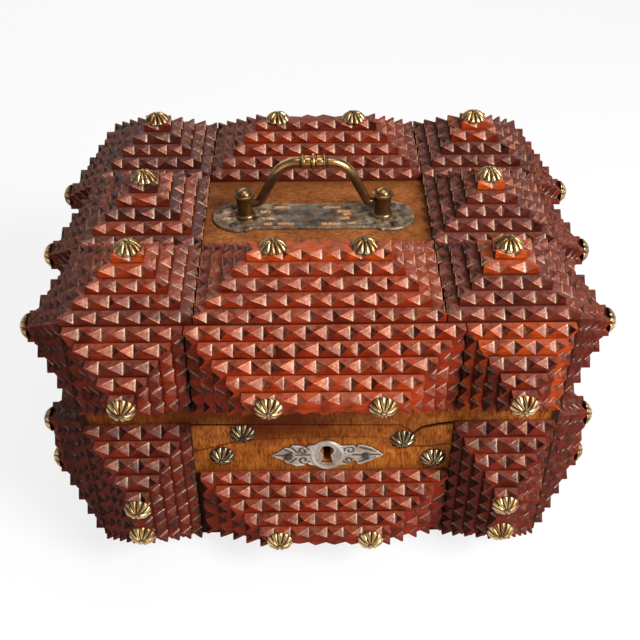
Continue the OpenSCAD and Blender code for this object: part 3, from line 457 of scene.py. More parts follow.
def weathered_bronze():
    """A cast bronze plate whose copper wash has worn through, left dull by damp.

    The eye sees a slate-dark middle, ends mottled from beige to black, crusted pits, and a few
    bright dashes of copper. The slate, copper and hollow attributes say where these are.
    """
    material, add = new_material("weathered_bronze")
    place = add("TexCoord", {}, "Object")
    slate, copper, ridge = (
        add("Attribute", {}, "Fac", attribute_name=name) for name in ("slate", "copper", "hollow"))
    crust, pit, drift = (
        add("TexNoise", {"Vector": place, "Scale": 1 / (size * MM), "Detail": detail})
        for size, detail in ((5, 6.0), (0.9, 4.0), (9, 3.0)))
    mottle, brown, dirt, rubbed, left, speck, rough = (
        add("MapRange", dict(enumerate(row))) for row in (
            (crust, 0.36, 0.62), (drift, 0.5, 0.64, 0.0, 0.75), (ridge, 0.1, 0.5, 0.9, 0.0),
            (ridge, 0.62, 0.95, 0.0, 0.5), (pit, 0.32, 0.5), (pit, 0.3, 0.7, 0.6, 1.3),
            (crust, 0.3, 0.7, 0.62, 0.42)))
    left = add("Math", {0: left, 1: copper}, operation="MULTIPLY")
    middle = add("Mix", {0: mottle, 6: "#443e39", 7: "#7b6d5f"}, 2, data_type="RGBA")
    colour = "#4f3d2c"
    for share, coat, blend in (
            (mottle, "#97836b", "MIX"), (slate, middle, "MIX"), (brown, "#6b4c31", "MIX"),
            (dirt, "#26211c", "MIX"), (rubbed, "#b09b7e", "MIX"),
            (left, "#dba06c", "MIX"), (1.0, speck, "MULTIPLY")):
        colour = add("Mix", {0: share, 6: colour, 7: coat}, 2, data_type="RGBA", blend_type=blend)
    bump = add("Bump", {"Height": pit, "Strength": 0.5, "Distance": 0.2 * MM})
    shader = add("BsdfPrincipled", {
        "Base Color": colour, "Metallic": 0.55, "Roughness": rough, "Normal": bump})
    add("OutputMaterial", {"Surface": shader})
    return material


# What was never stained: the rail, the recess round the handle, and the box's inside; and the
# rail's darker smudges: one over its upper middle, and painted shade over its upper left, under
# the lid's edge
RAIL = ((-112, -110, 48), (112, -60, 95.4))
RECESS = ((-60, -44, 115), (57, 30.5, 175))
INSIDE = ((-114.6, -87, 2), (114.6, 87, 144))
RAIL_SMUDGES = ((-46, -34, 60, 66, 78, 0.9), (-120, -70, 40, 82.5, 84.5, 0.8))
MAHOGANY = stained_mahogany()
RAIL_WOOD = oiled_cedar("oiled_cedar_rail", 2, 4, 0.8, "#7c3408", "#d07e33", (RAIL, INSIDE), RAIL_SMUDGES)
VENEER_WOOD = oiled_cedar(
    "oiled_cedar_veneer", 2, 4, 0.8, "#753108", "#c67631", (RAIL, INSIDE), RAIL_SMUDGES, "edge")
PANEL_WOOD = oiled_cedar("oiled_cedar_panel", 0, 2.0, 0.6, "#633018", "#ad6c38", (RECESS, INSIDE))
ACROSS_WOOD = oiled_cedar("oiled_cedar_across", 0, 30, 1.0, "#8a5222", "#bd7f3c", (INSIDE,))
DEEP_WOOD = oiled_cedar("oiled_cedar_deep", 1, 30, 1.0, "#80491f", "#b07436", (INSIDE,))
STUD_BRASS = aged_metal("pressed_brass", "#e8c288", "#86592e", "#190c05", 1.2, 0.2, 1.0, "hollow")
DARK_BRASS = aged_metal("tarnished_brass", "#b8a07c", "#4c3c2a", "#150d07", 1.2, 0.2, 1.0, "hollow")
HANDLE_BRASS = aged_metal("cast_brass", "#d2a86c", "#6d4422", "#371505", 3.0, 0.2, 1.0, "hollow")
PEWTER = aged_metal("cast_pewter", "#d6cdc2", "#a38d7a", "#3d2a1a", 1.6, 0.4, 0.45, "hollow")
BRONZE = weathered_bronze()
IRON = aged_metal("wrought_iron", "#5a544c", "#3b342d", "#241e19", 1.6, 0.55, 1.0)
NAIL_STEEL = aged_metal("nail_steel", "#61574d", "#3c322a", "#1d1611", 0.8, 0.42, 0.8)
FITTING_BRASS = aged_metal("rolled_brass", "#a98548", "#7a5a2c", "#3a2c18", 2.0, 0.38, 1.0)


# Carved stacks

def notch_pitch(length):
    """How many V cuts fit along an arris, and how far apart they are."""
    count = max(1, round((length - 2 * END_LAND) / NOTCH_PITCH))
    return count, (length - 2 * END_LAND) / count


def notch_row(length, lean, rng):
    """Ends and valley of each V cut along an arris, strayed and leaning as hand work does."""
    count, pitch = notch_pitch(length)
    edge = np.linspace(END_LAND - length / 2, length / 2 - END_LAND, count + 1)
    edge[1:-1] += pitch * NOTCH_WANDER * rng.uniform(-1, 1, count - 1)
    land = rng.uniform(*NOTCH_LAND, count + 1)
    start = edge[:-1] + land[:-1] / 2
    end = edge[1:] - land[1:] / 2
    valley = (start + end) / 2 + lean * pitch * NOTCH_LEAN * rng.uniform(0, 1, count)
    return start, end, valley


def carved_board(size, thick, reach, rng):
    """One board with V cuts across its four upper arrises.

    Each cut has two ends on the arris, a valley that runs from a point set back on the top
    face to a point down the edge face, and two triangular walls, each scooped or crowned a
    little in its middle. What is left of the edge face and of the top face's rim is a row of
    gables, worn or chipped at their tips. The carver cut from the left, so the wall at the
    left, or at the front on a board's ends, is the clean one. Gives the points, the faces,
    each point's share of arris, top and edge, and each face's cut: 0 for none, 1 for a clean
    wall, and less for a torn one.
    """
    half = np.asarray(size) / 2
    corners = half * np.array([[1, 1], [-1, 1], [-1, -1], [1, -1]])
    points = [np.c_[corners, np.full(4, thick)], np.c_[corners, np.zeros(4)]]
    arris, on_top, on_edge, plain = np.c_[np.eye(4, 3), np.ones(4)]
    on_wall = (arris + on_top + on_edge) / 3
    kinds = [arris, arris, on_top, on_edge, plain, plain, on_wall, on_wall]
    shares = [np.tile(arris, (4, 1)), np.tile(plain, (4, 1))]
    deepest = thick - NOTCH_FLOOR
    clean, torn, flats, under, rows = [], [], [], [], []
    first = 8
    for side in range(4):
        out = half[1 - side % 2]
        start, end, valley = notch_row(2 * half[side % 2], CUT_LEAN[side], rng)
        count = len(valley)
        drop = deepest * rng.uniform(NOTCH_EVEN, 1, count)
        most = np.full(count, min(NOTCH_BACK * deepest, reach[1 - side % 2], 2 * out / NOTCH_SHARE))
        _, next_pitch = notch_pitch(2 * out)
        most[[0, -1]] = min(most[0], END_LAND + next_pitch * (0.5 - NOTCH_LEAN) - RIM_MARGIN)
        back = most * rng.uniform(NOTCH_EVEN, 1, count)
        scoop = rng.uniform(*WALL_SCOOP, (2, count)) * np.sqrt(0.5)
        chipped = rng.uniform(0, 1, count - 1) < CHIP_SHARE
        chip, rub = rng.uniform(*TIP_CHIP, count - 1), TIP_WEAR * rng.uniform(0, 1, count - 1)
        lost = np.where(chipped, chip, rub) * np.sqrt(0.5)
        lost_start, lost_end = np.r_[0, lost], np.r_[lost, 0]
        none = np.zeros(count)
        x = np.stack([start, end, valley, valley, valley, valley,
                      (start + 2 * valley) / 3, (end + 2 * valley) / 3])
        y = out - np.stack([lost_start, lost_end, back, none, most + RIM_MARGIN, none, *back / 3 + scoop])
        z = thick - np.stack([lost_start, lost_end, none, drop, none, none + thick, *drop / 3 + scoop])
        cosine, sine = ((1, 0), (0, 1), (-1, 0), (0, -1))[side]
        points.append(np.stack([x * cosine - y * sine, x * sine + y * cosine, z], -1).reshape(-1, 3))
        shares.append(np.repeat(kinds, count, 0))
        near, far, top, low, rim, sole, near_mid, far_mid = first + np.arange(8 * count).reshape(8, count)
        first += 8 * count
        walls = [np.c_[near, top, near_mid, top, low, near_mid, low, near, near_mid],
                 np.c_[far, low, far_mid, low, top, far_mid, top, far, far_mid]]
        clean += walls[CUT_LEAN[side] < 0].reshape(-1, 3).tolist()
        torn += walls[CUT_LEAN[side] > 0].reshape(-1, 3).tolist()
        right, left = side, (side + 1) % 4
        flats += np.c_[sole[1:], sole[:-1], low[:-1], far[:-1], near[1:], low[1:]].tolist()
        flats += np.c_[rim[:-1], rim[1:], top[1:], near[1:], far[:-1], top[:-1]].tolist()
        flats.append([sole[0], left + 4, left, near[0], low[0]])
        flats.append([right + 4, sole[-1], low[-1], far[-1], right])
        under += [right + 4, *sole[::-1]]
        rows.append((near, far, top, rim))
    for side in range(4):
        left = (side + 1) % 4
        near, _, top, rim = rows[side]
        _, next_far, next_top, next_rim = rows[left]
        flats.append([rim[0], top[0], near[0], left, next_far[-1], next_top[-1], next_rim[-1]])
    flats.append(np.concatenate([row[3][::-1] for row in rows]).tolist())
    flats.append(under[::-1])
    cut = np.r_[np.full(len(clean), 1.0), np.full(len(torn), TORN_CUT), np.zeros(len(flats))]
    return np.concatenate(points), clean + torn + flats, np.concatenate(shares), cut


def carved_stack(node, body, face, cap, tones, rng):
    """A stepped stack of carved boards, from its packed box up to its cap board.

    Gives the face's axes and the middle of the cap board's top.
    """
    axes = np.array(FACES[face], float)
    low, high = (np.array(corner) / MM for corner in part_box(node))
    size = np.abs(axes @ (high - low))
    foot = (low + high) / 2 - axes[2] * size[2] / 2
    pitch = (size[2] + GLUE_LINE) / BOARDS
    step = (size[:2] - cap) / (2 * (BOARDS - 1))
    points, faces, marks, gap_shade = [], [], [], []
    first = 0
    for level in range(BOARDS):
        board, board_faces, share, cut = carved_board(
            size[:2] - 2 * level * step, pitch - GLUE_LINE, step - NOTCH_MARGIN, rng)
        turn = BOARD_TURN * rng.uniform(-1, 1) if level else 0.0
        shift = BOARD_STRAY * rng.uniform(-1, 1, 2) if level else np.zeros(2)
        flat = board[:, :2] @ np.array([[1, turn], [-turn, 1]]) + shift
        points.append(np.c_[flat, board[:, 2] + level * pitch])
        next_half = size[:2] / 2 - (level + 1) * step if level < BOARDS - 1 else NO_BOARD
        faces += [[first + corner for corner in ring] for ring in board_faces]
        first += len(board)
        gap_shade.append(np.full(len(cut), 1.0 if level else LOW_BOARD_SHADE))
        wall = np.repeat(rng.uniform(-1, 1, np.count_nonzero(cut) // 3), 3)
        scraped = WALL_TONE[body] + WALL_RED * tones[level] + WALL_STRAY * wall
        marks.append({
            "share": share, "spot": board, "half": np.tile([*next_half, 0], (len(cut), 1)), "cut": cut,
            "tone": np.r_[scraped, np.full(len(cut) - len(wall), tones[level])]})
    points = foot + np.concatenate(points) @ axes
    marks = {name: np.concatenate([mark[name] for mark in marks]) for name in marks[0]}
    mesh = piece("carved_" + node, points, faces, body, "carved_mahogany", MAHOGANY, node, 28, **marks)
    normal = np.empty(3 * len(mesh.polygons))
    mesh.polygons.foreach_get("normal", normal)
    across, _, upward = normal.reshape(-1, 3).T
    # Painted shade on faces that look sideways: full on left-facing faces and on the lowest board, less on
    # right-facing ones
    side_shading = np.clip(np.where(across < 0, 1.0, RIGHT_SHADE) * np.concatenate(gap_shade), 0, 1)
    paint(mesh, "up", np.clip(upward, 0, 1))
    paint(mesh, "side_shade", side_shading * smoothstep(0.45, 0.62, np.abs(across)))
    return axes, foot + axes[2] * size[2]


# Sizes of the cap boards
TOP_CORNER = (13.5, 10.5)
TOP_MIDDLE = (13.5, 14)
TOP_CENTRE = (65, 10.5)
LID_CORNER = (11, 9)
LID_CENTRE = (74, 9)
BASE_CORNER = (11, 33)
BASE_CENTRE = (65, 9.2)
BASE_BACK = (74, 33)
LID_SIDE = (13, 9)
BASE_SIDE = (13, 40)

# Offsets of a cap board's studs, and how red each board is from the lowest up
ONE = ((0, 0),)
DULL = (0.32, 0.34, 0.3, 0.35, 0.42)
LEFT = (0.24, 0.28, 0.22, 0.26, 0.34)
RIGHT = (0.22, 0.27, 0.2, 0.27, 0.36)


def beside(pair):
    """Two studs side by side."""
    return (-pair / 2, 0), (pair / 2, 0)


def above(pair):
    """Two studs one above the other."""
    return (0, -pair / 2), (0, pair / 2)


def three_alike(cap, offsets, reds):
    """The three stacks on the left or the right of the lid or the base."""
    return [(part, cap, offsets, reds) for part in ("front", "middle", "rear")]


# For each side of the lid and the base: its stacks' names, cap boards, stud offsets and reds
STACKS = (
    ("lid_top", (
        ("front_left", TOP_CORNER, ONE, (0.24, 0.4, 0.52, 0.7, 0.85)),
        ("front_centre", TOP_CENTRE, beside(41), (0.52, 0.62, 0.6, 0.66, 0.76)),
        ("front_right", TOP_CORNER, ONE, (0.26, 0.2, 0.18, 0.76, 0.92)),
        ("middle_left", TOP_MIDDLE, ONE, (0.12, 0.42, 0.05, 0.56, 0.08)),
        ("middle_right", TOP_MIDDLE, ONE, (0.2, 0.15, 0.16, 0.24, 0.9)),
        ("back_left", TOP_CORNER, ONE, (0.08, 0.1, 0.14, 0.08, 0.26)),
        ("back_centre", TOP_CENTRE, beside(41), (0.26, 0.3, 0.38, 0.6, 0.34)),
        ("back_right", TOP_CORNER, ONE, (0.15, 0.11, 0.1, 0.6, 0.72)))),
    ("lid_front", (
        ("left", LID_CORNER, ONE, (0.42, 0.55, 0.3, 0.38, 0.27)),
        ("centre", LID_CENTRE, beside(50), (0.62, 0.66, 0.65, 0.68, 0.72)),
        ("right", LID_CORNER, ONE, (0.74, 0.76, 0.32, 0.42, 0.3)))),
    ("lid_left", three_alike(LID_SIDE, ONE, LEFT)),
    ("lid_right", three_alike(LID_SIDE, ONE, RIGHT)),
    ("lid_back", (
        ("left", LID_CORNER, ONE, DULL),
        ("centre", LID_CENTRE, beside(50), DULL),
        ("right", LID_CORNER, ONE, DULL))),
    ("base_front", (
        ("left", BASE_CORNER, above(20), (0.32, 0.38, 0.32, 0.28, 0.27)),
        ("centre", BASE_CENTRE, beside(45), (0.6, 0.6, 0.56, 0.58, 0.55)),
        ("right", BASE_CORNER, above(20), (0.32, 0.36, 0.38, 0.34, 0.26)))),
    ("base_left", three_alike(BASE_SIDE, above(28), LEFT)),
    ("base_right", three_alike(BASE_SIDE, above(28), RIGHT)),
    ("base_back", (
        ("left", BASE_CORNER, above(20), DULL),
        ("centre", BASE_BACK, beside(50), DULL),
        ("right", BASE_CORNER, above(20), DULL))),
)


# Studs

def fluted_stud():
    """A pressed daisy stud: a dome whose height falls as radius to the 2.4, fluted by round petals.

    A petal is a parabola across, and its flutes fade towards the rim. Gives the points, the
    faces and how raised each point is, from a groove to a petal's crest.
    """
    ring = np.linspace(0.08, 1, 16)[:, None]
    turn = full_turn(STUD_PETALS * 10)
    across = STUD_PETALS * turn / np.pi % 2 - 1
    crest = 1 - across ** 2
    open_out = smoothstep(0.14, 0.38, ring)
    radius = STUD_R * ring * (1 - 0.08 * (1 - crest) * open_out)
    dome = STUD_RIM + (STUD_H - STUD_RIM - 0.35) * (1 - ring ** 2.4)
    groove = STUD_FLUTE * (1 - crest) * open_out * (1 - 0.55 * ring ** 3)
    button = 0.3 * smoothstep(0.2, 0.1, ring) - 0.3 * bell(ring, 0.2, 0.05)
    height = dome - groove + button
    grid = turned(radius, height, turn)
    skirt = grid[-1] * [1, 1, 0]
    points = np.concatenate([[[0, 0, STUD_H]], grid.reshape(-1, 3), skirt])
    count = turn.size
    lap = np.arange(count)
    faces = np.c_[np.zeros(count, int), 1 + lap, 1 + (lap + 1) % count].tolist()
    faces += grid_faces(len(ring) + 1, count, 1)[:, ::-1].tolist()
    faces.append((1 + len(ring) * count + lap)[::-1].tolist())
    raised = crest ** 1.2 * open_out + (1 - open_out) * np.where(ring < 0.12, 0.5, 0.2)
    raised = np.r_[1.0, raised.ravel(), raised[-1]]
    return points, faces, raised


def studs(name, node, body, places, brass, rng):
    """All the studs of one body as one piece, each turned by chance about its own axis."""
    stud, stud_faces, raised = fluted_stud()
    spin = rng.uniform(0, 2 * np.pi, len(places))
    points, faces = [], []
    for (axes, foot), turn in zip(places, spin):
        roll = np.array([[np.cos(turn), np.sin(turn), 0], [-np.sin(turn), np.cos(turn), 0], [0, 0, 1]])
        first = len(stud) * len(points)
        points.append(foot + stud @ roll @ axes)
        faces += [[first + corner for corner in face] for face in stud_faces]
    piece(name, np.concatenate(points), faces, body, "stud_brass", brass, node, 50,
          hollow=np.tile(raised, len(places)))


carver = np.random.default_rng(CARVER_SEED)
stud_places = {"lid": [], "base": []}
for side, stacks in STACKS:
    body, face = side.split("_")
    for part, cap, offsets, reds in stacks:
        tones = np.array(reds) + BOARD_TONE * carver.uniform(-1, 1, BOARDS)
        axes, top = carved_stack(f"{side}_{part}_stack", body, face, cap, tones, carver)
        stud_places[body] += [(axes, top + offset @ axes[:2]) for offset in offsets]
for body, places in stud_places.items():
    studs(f"fluted_{body}_studs", f"{body}_studs", body, places, STUD_BRASS, carver)

front_axes = np.array(FACES["front"], float)
front_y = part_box("base_front_board")[0].y / MM
RAIL_PLACES = ((-37.5, 77), (-48.5, 61), (40.7, 71.5), (56.2, 58))
rail_feet = [(front_axes, np.array([x, front_y, z])) for x, z in RAIL_PLACES]
studs("fluted_rail_studs", "rail_studs", "base", rail_feet, DARK_BRASS, carver)


# Rail

# The upper and lower edges of the veneer strip as (x, z): the lower one rises from the left to
# a torn flap on the right, which has lifted
VENEER_UPPER = (
    (-62.2, 83.7), (-10, 82.9), (39, 81.6), (43, 79.0), (45.5, 75.8), (47.5, 78.6), (50, 80.6),
    (57, 82.6), (64.2, 83.6))
VENEER_LOWER = (
    (-62.2, 64.3), (-51.6, 67.3), (-39.6, 71.4), (-28, 72.6), (-10, 73.2), (5, 73.8), (20, 73.4),
    (34, 72.2), (41, 68.5), (44.5, 66.6), (55, 67.0), (64.2, 68.7))
VENEER_T = 0.35
VENEER_LIFT = 1.0
VENEER_FLAP = (43, 55)
VENEER_SPLITS = ((-30, -42), (38, 44))


def lifted_veneer():
    """A veneer strip on the rail: straight across between its two edges, and raised off the board.

    Its thickness is constant but for a flap at the right, which bellies out as a half sine.
    """
    upper, lower = np.array(VENEER_UPPER), np.array(VENEER_LOWER)
    x = np.unique(np.r_[np.linspace(*lower[[0, -1], 0], 180), upper[:, 0], lower[:, 0]])[:, None]
    across = np.linspace(0, 1, 25)[None, :]
    top_z = np.interp(x, *upper.T)
    low_z = np.interp(x, *lower.T)
    z = low_z + across * (top_z - low_z)
    belly = 0.35 + 0.65 * np.sin(np.pi * (0.15 + 0.7 * across))
    height = VENEER_T + VENEER_LIFT * smoothstep(*VENEER_FLAP, x) * belly
    shell, faces, border = slab(np.stack([x + 0 * z, z, height], -1))
    placed = np.array([0, front_y, 0]) + shell @ front_axes
    near = np.minimum(z - low_z, top_z - z)
    # Painted shadow along both edges of the veneer, stronger where it has split
    split = 0.35 + 0.65 * sum(smoothstep(*place, x) for place in VENEER_SPLITS)
    painted_edge_shadow = 0.95 * smoothstep(1.3, 0.3, near) * split
    piece("lifted_veneer", placed, faces, "base", "box_wood", VENEER_WOOD, None, 40,
          edge=np.r_[painted_edge_shadow.ravel(), np.ones(border)])


lifted_veneer()


# Handle

def turned_posts():
    """Two turned posts: one profile of radius over height, carried round each post's axis."""
    profile = np.array([
        (4.4, -7.6), (4.4, -6.4), (2.2, -6.4), (2.2, 0), (4.7, 0), (5.0, 0.4), (5.1, 1.0), (4.95, 1.6),
        (4.5, 2.0), (4.1, 2.3), (4.05, 4.0), (4.2, 9.0), (4.4, 11.4), (4.55, 11.7), (4.95, 12.0),
        (5.1, 12.5), (5.0, 13.0), (4.6, 13.3), (4.1, 13.2), (3.7, 13.5), (3.0, 14.4), (1.7, 15.2),
        (0.3, 15.5)])
    rise = np.r_[0, np.cumsum(np.hypot(*np.diff(profile, axis=0).T))]
    along = np.unique(np.r_[rise, np.linspace(0, rise[-1], 90)])
    radius = np.interp(along, rise, profile[:, 0])[:, None]
    height = np.interp(along, rise, profile[:, 1])[:, None]
    turn = full_turn(40)
    post = turned(radius, height, turn).reshape(-1, 3)
    lap = np.arange(turn.size)
    rings = grid_faces(len(along), turn.size).tolist() + [lap, lap + len(post) - turn.size]
    points = np.concatenate([post + [HANDLE_X + side * POST_X, HANDLE_Y, plate_top] for side in (-1, 1)])
    faces = [[first + corner for corner in ring] for first in (0, len(post)) for ring in rings]
    rubbed = 0.22 + 0.78 * smoothstep(4.5, 4.9, radius) + 0.3 * smoothstep(13.6, 15.2, height) + 0 * turn
    piece("turned_posts", points, faces, "lid", "handle_brass", HANDLE_BRASS, "handle_posts", 35,
          hollow=np.tile(rubbed.ravel(), 2))


def bail():
    """A cast bail that stands upright: a round rod along straights and bends, with a ringed grip.

    The path's heading is the running sum of the bends, and its points the running sum of
    the headings. The rod's radius is a profile over the distance from the grip's middle.
    """
    slope = np.radians(ARM_SLOPE)
    arm_in = ELBOW_X - GRIP_HALF - ELBOW_R * np.sin(slope)
    rise = 1 - np.cos(slope)
    arm_up = BAIL_REACH - ELBOW_R * rise
    arm_run = (arm_up * np.sin(slope) - arm_in * rise) / rise
    shoulder_r = (arm_in * np.sin(slope) - arm_up * np.cos(slope)) / rise
    half = [(POST_X - 2 - ELBOW_X, 0), (ELBOW_R * slope, slope), (arm_run, 0),
            (shoulder_r * slope, -slope)]
    runs = np.array(half + [(2 * GRIP_HALF, 0)] + half[::-1])
    ends = np.r_[0, np.cumsum(runs[:, 0])]
    heading = np.r_[0, np.cumsum(runs[:, 1])]
    middle = ends[-1] / 2
    along = np.unique(np.r_[np.linspace(0, ends[-1], 200), middle + np.linspace(-8, 8, 90)])
    angle = np.interp(along, ends, heading)
    gap = np.diff(along)
    mid_angle = (angle[1:] + angle[:-1]) / 2
    x = np.r_[0, np.cumsum(gap * np.cos(mid_angle))]
    y = np.r_[0, np.cumsum(gap * np.sin(mid_angle))]
    x -= (x[0] + x[-1]) / 2
    away = np.abs(along - middle)
    profile = np.array([
        (0, 4.4), (0.5, 4.2), (0.9, 3.5), (1.15, 2.8), (1.4, 2.8), (1.7, 3.2), (2.9, 3.3), (4.2, 3.2),
        (4.5, 2.8), (4.7, 3.2), (5.0, 3.9), (5.4, 3.9), (5.7, 3.3), (5.95, 2.75), (12, 2.6), (22, 2.4),
        (34, 2.3), (42, 2.35), (47, 2.2), (50, 1.75), (60, 1.7)])
    radius = np.interp(away, *profile.T)[:, None]
    turn = full_turn(28)
    out = radius * np.cos(turn)
    flat = np.stack([x[:, None] - np.sin(angle)[:, None] * out, y[:, None] + np.cos(angle)[:, None] * out,
                     radius * np.sin(turn)], -1).reshape(-1, 3)
    points = flat @ front_axes + [HANDLE_X, HANDLE_Y, plate_top + PIVOT_H]
    lap = np.arange(turn.size)
    faces = grid_faces(len(along), turn.size).tolist()
    faces.append(lap.tolist())
    faces.append((lap + (len(along) - 1) * turn.size)[::-1].tolist())
    rubbed = 0.24 + 0.76 * smoothstep(24, 9, away) * smoothstep(2.75, 3.05, radius[:, 0] + (away > 7.2))
    piece("cast_bail", points, faces, "bail", "handle_brass", HANDLE_BRASS, "handle_bail", 40,
          hollow=np.repeat(np.clip(rubbed, 0, 1), turn.size))


def backplate():
    """A cast backplate: straight edges with round eared ends, and relief over its length and width.

    The half width is constant between the ends and a circle's arc over them. The height has
    a raised rim, a sunken middle panel, and ends lumped by a sum of waves in all directions.
    """
    end_x = PLATE_HALF_L - PLATE_END_R
    arc_x = end_x - np.sqrt(PLATE_END_R ** 2 - PLATE_HALF_W ** 2)
    x = np.concatenate([np.linspace(-PLATE_HALF_L + 0.05, -30, 60), np.linspace(-29.5, 29.5, 119),
                        np.linspace(30, PLATE_HALF_L - 0.05, 60)])[:, None]
    across = np.linspace(-1, 1, 41)[None, :]
    arc = np.sqrt(np.clip(PLATE_END_R ** 2 - np.clip(np.abs(x) - end_x, -7, None) ** 2, 0.2, None))
    ear = 1.1 * bell(np.abs(x), PLATE_EAR_X, 1.1)
    half = np.where(np.abs(x) > arc_x, arc, PLATE_HALF_W) + ear
    y = across * half
    inset = np.minimum(half - np.abs(y), PLATE_HALF_L - np.abs(x))
    rim = bell(inset, 0.9, 0.5)
    panel = smoothstep(15, 12, np.abs(x + 1)) * smoothstep(1.4, 2.2, inset)
    rng = np.random.default_rng(PLATE_SEED)
    heading, phase = rng.uniform(0, 2 * np.pi, (2, 9))
    wave = 2 * np.pi / rng.uniform(2.6, 7.5, 9)
    wave_x, wave_y = wave * np.cos(heading), wave * np.sin(heading)
    lump = np.sin(x[..., None] * wave_x + y[..., None] * wave_y + phase).mean(-1)
    lump = np.clip(2.2 * lump, -1, 1)
    ends = smoothstep(13, 20, np.abs(x)) * smoothstep(1.2, 2.4, inset)
    screw = np.hypot(np.abs(x) - PLATE_SCREW[0], y - PLATE_SCREW[1])
    ring = bell(screw, 2.3, 0.5)
    height = 0.55 + 0.6 * smoothstep(0, 0.5, inset) + 0.25 * rim - 0.2 * panel
    height = np.minimum(height + 0.2 * lump * ends + 0.1 * ring, PLATE_T)
    shell, faces, border = slab(np.stack([x + 0 * y, y, height], -1))
    points = shell + [HANDLE_X, HANDLE_Y, plate_top - PLATE_T]
    copper = np.zeros_like(y)
    for start, end, level in COPPER_DASHES:
        dash = smoothstep(start - 0.6, start + 0.6, x) * smoothstep(end + 0.6, end - 0.6, x)
        copper = np.maximum(copper, dash * smoothstep(1.4, 0.8, np.abs(y - level)))
    for level in COPPER_DROPS:
        drop = np.hypot((x + 44) / 2.6, (y - level) / 1.7)
        copper = np.maximum(copper, smoothstep(1.0, 0.7, drop))
    by_post = np.exp(-((np.abs(x) - POST_X) ** 2 + y ** 2) / 8 ** 2)
    worn = 0.5 + 0.3 * rim + (0.26 + 0.4 * by_post) * lump * ends - 0.5 * smoothstep(2.6, 1.6, screw)
    marks = {"hollow": np.clip(worn, 0, 1), "copper": copper, "slate": panel}
    marks = {name: np.r_[values.ravel(), np.zeros(border)] for name, values in marks.items()}
    piece("cast_backplate", points, faces, "lid", "handle_plate_bronze", BRONZE, "handle_plate", 40,
          **marks)


plate_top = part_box("handle_plate")[1].z / MM
turned_posts()
bail()
backplate()


# Escutcheon

# Upper and lower edges of the escutcheon's arms from its middle outwards: a toothed leaf on
# the left and an arrowhead on the right
LEAF_UPPER = (
    (5, 7.4), (7.1, 7.6), (9.2, 7.4), (10.7, 5.7), (12.2, 7.0), (14.8, 7.6), (17.3, 7.6),
    (18.8, 5.7), (20.9, 6.1), (22.4, 4.4), (23.9, 3.1), (25.5, 1.7), (28, 0.1))
LEAF_LOWER = (
    (5, 7.4), (8.1, 6.9), (10.2, 5.6), (11.7, 6.9), (15.3, 7.6), (17.8, 6.2), (19.9, 5.6),
    (21.4, 3.6), (23.9, 1.9), (26.5, 0.5), (28, 0.1))
ARROW_UPPER = (
    (5, 7.4), (7.6, 7.0), (10.2, 7.0), (12.7, 7.6), (14.3, 5.7), (15.3, 7.6), (17.3, 7.6),
    (21.9, 5.7), (28, 0.1))
ARROW_LOWER = (
    (5, 7.4), (7.6, 6.9), (10.2, 6.9), (12.2, 4.9), (14.3, 3.6), (15.3, 6.2), (16.8, 6.9),
    (21.9, 3.6), (28, 0.1))


def scroll(x, y, reach, turns, start):
    """Points of a scroll: an arc whose radius shrinks evenly to a quarter as it turns."""
    along = np.linspace(0, 1, 40)
    angle = np.radians(start) + 2 * np.pi * turns * along
    radius = reach * (1 - 0.75 * along)
    return np.c_[x + radius * np.cos(angle), y + radius * np.sin(angle)]


def vein(start, end):
    """Points of a straight vein."""
    return np.linspace(start, end, 24)


LEAF_RELIEF = np.concatenate([
    scroll(11.6, -3.2, 2.9, 1.1, 200), scroll(11.8, 3.4, 2.9, -1.1, 160), vein((14.5, 2.2), (18, 6.3)),
    vein((15.5, -2.2), (18.5, -5.2)), vein((17.5, 2.2), (21.5, 4.8)), vein((20.5, -1.6), (21.5, -3.0)),
    vein((21.5, 0.2), (26.5, 0.2)), vein((8.5, 0.6), (15.5, 0.4))])
ARROW_RELIEF = np.concatenate([
    scroll(11.2, 3.6, 2.7, -1.1, 180), scroll(10.4, -3.4, 2.8, 1.1, 180), vein((16, 5.6), (24.5, 2.6)),
    vein((16, -4.8), (24, -1.6)), vein((12.5, 0.2), (16.5, 0.2)), vein((21.5, 0.3), (26, 0.3))])


def arm(side, upper, lower, relief):
    """One arm of the escutcheon: straight across between its two edges.

    Its height has a rolled rim, grooves along the relief's points and a sunken nail place.
    """
    upper, lower = np.array(upper), np.array(lower)
    x = np.unique(np.r_[np.linspace(*upper[[0, -1], 0], 100), upper[:, 0], lower[:, 0]])[:, None]
    across = np.linspace(-1, 1, 31)[None, :]
    above_edge = np.interp(x, *upper.T)
    below_edge = np.interp(x, *lower.T)
    reach = np.where(across > 0, above_edge, below_edge)
    y = across * reach
    inset = reach - np.abs(y)
    rim = bell(inset, 0.6, 0.4)
    away = np.hypot(x[..., None] - relief[:, 0], y[..., None] - relief[:, 1]).min(-1)
    groove = bell(away, 0, 0.45)
    nail = np.exp(-(((x - ARM_NAIL_X) / 1.7) ** 2 + (y / 1.7) ** 2))
    height = 0.5 + 0.5 * smoothstep(0, 0.5, inset) + 0.2 * rim - 0.45 * groove * (1 - nail) - 0.4 * nail
    top = np.stack([side * x + 0 * y, y, height], -1)
    worn = np.clip(0.6 + 0.4 * rim - 0.6 * groove - 0.7 * nail, 0, 1) * smoothstep(-0.2, 0.3, inset)
    return top, worn


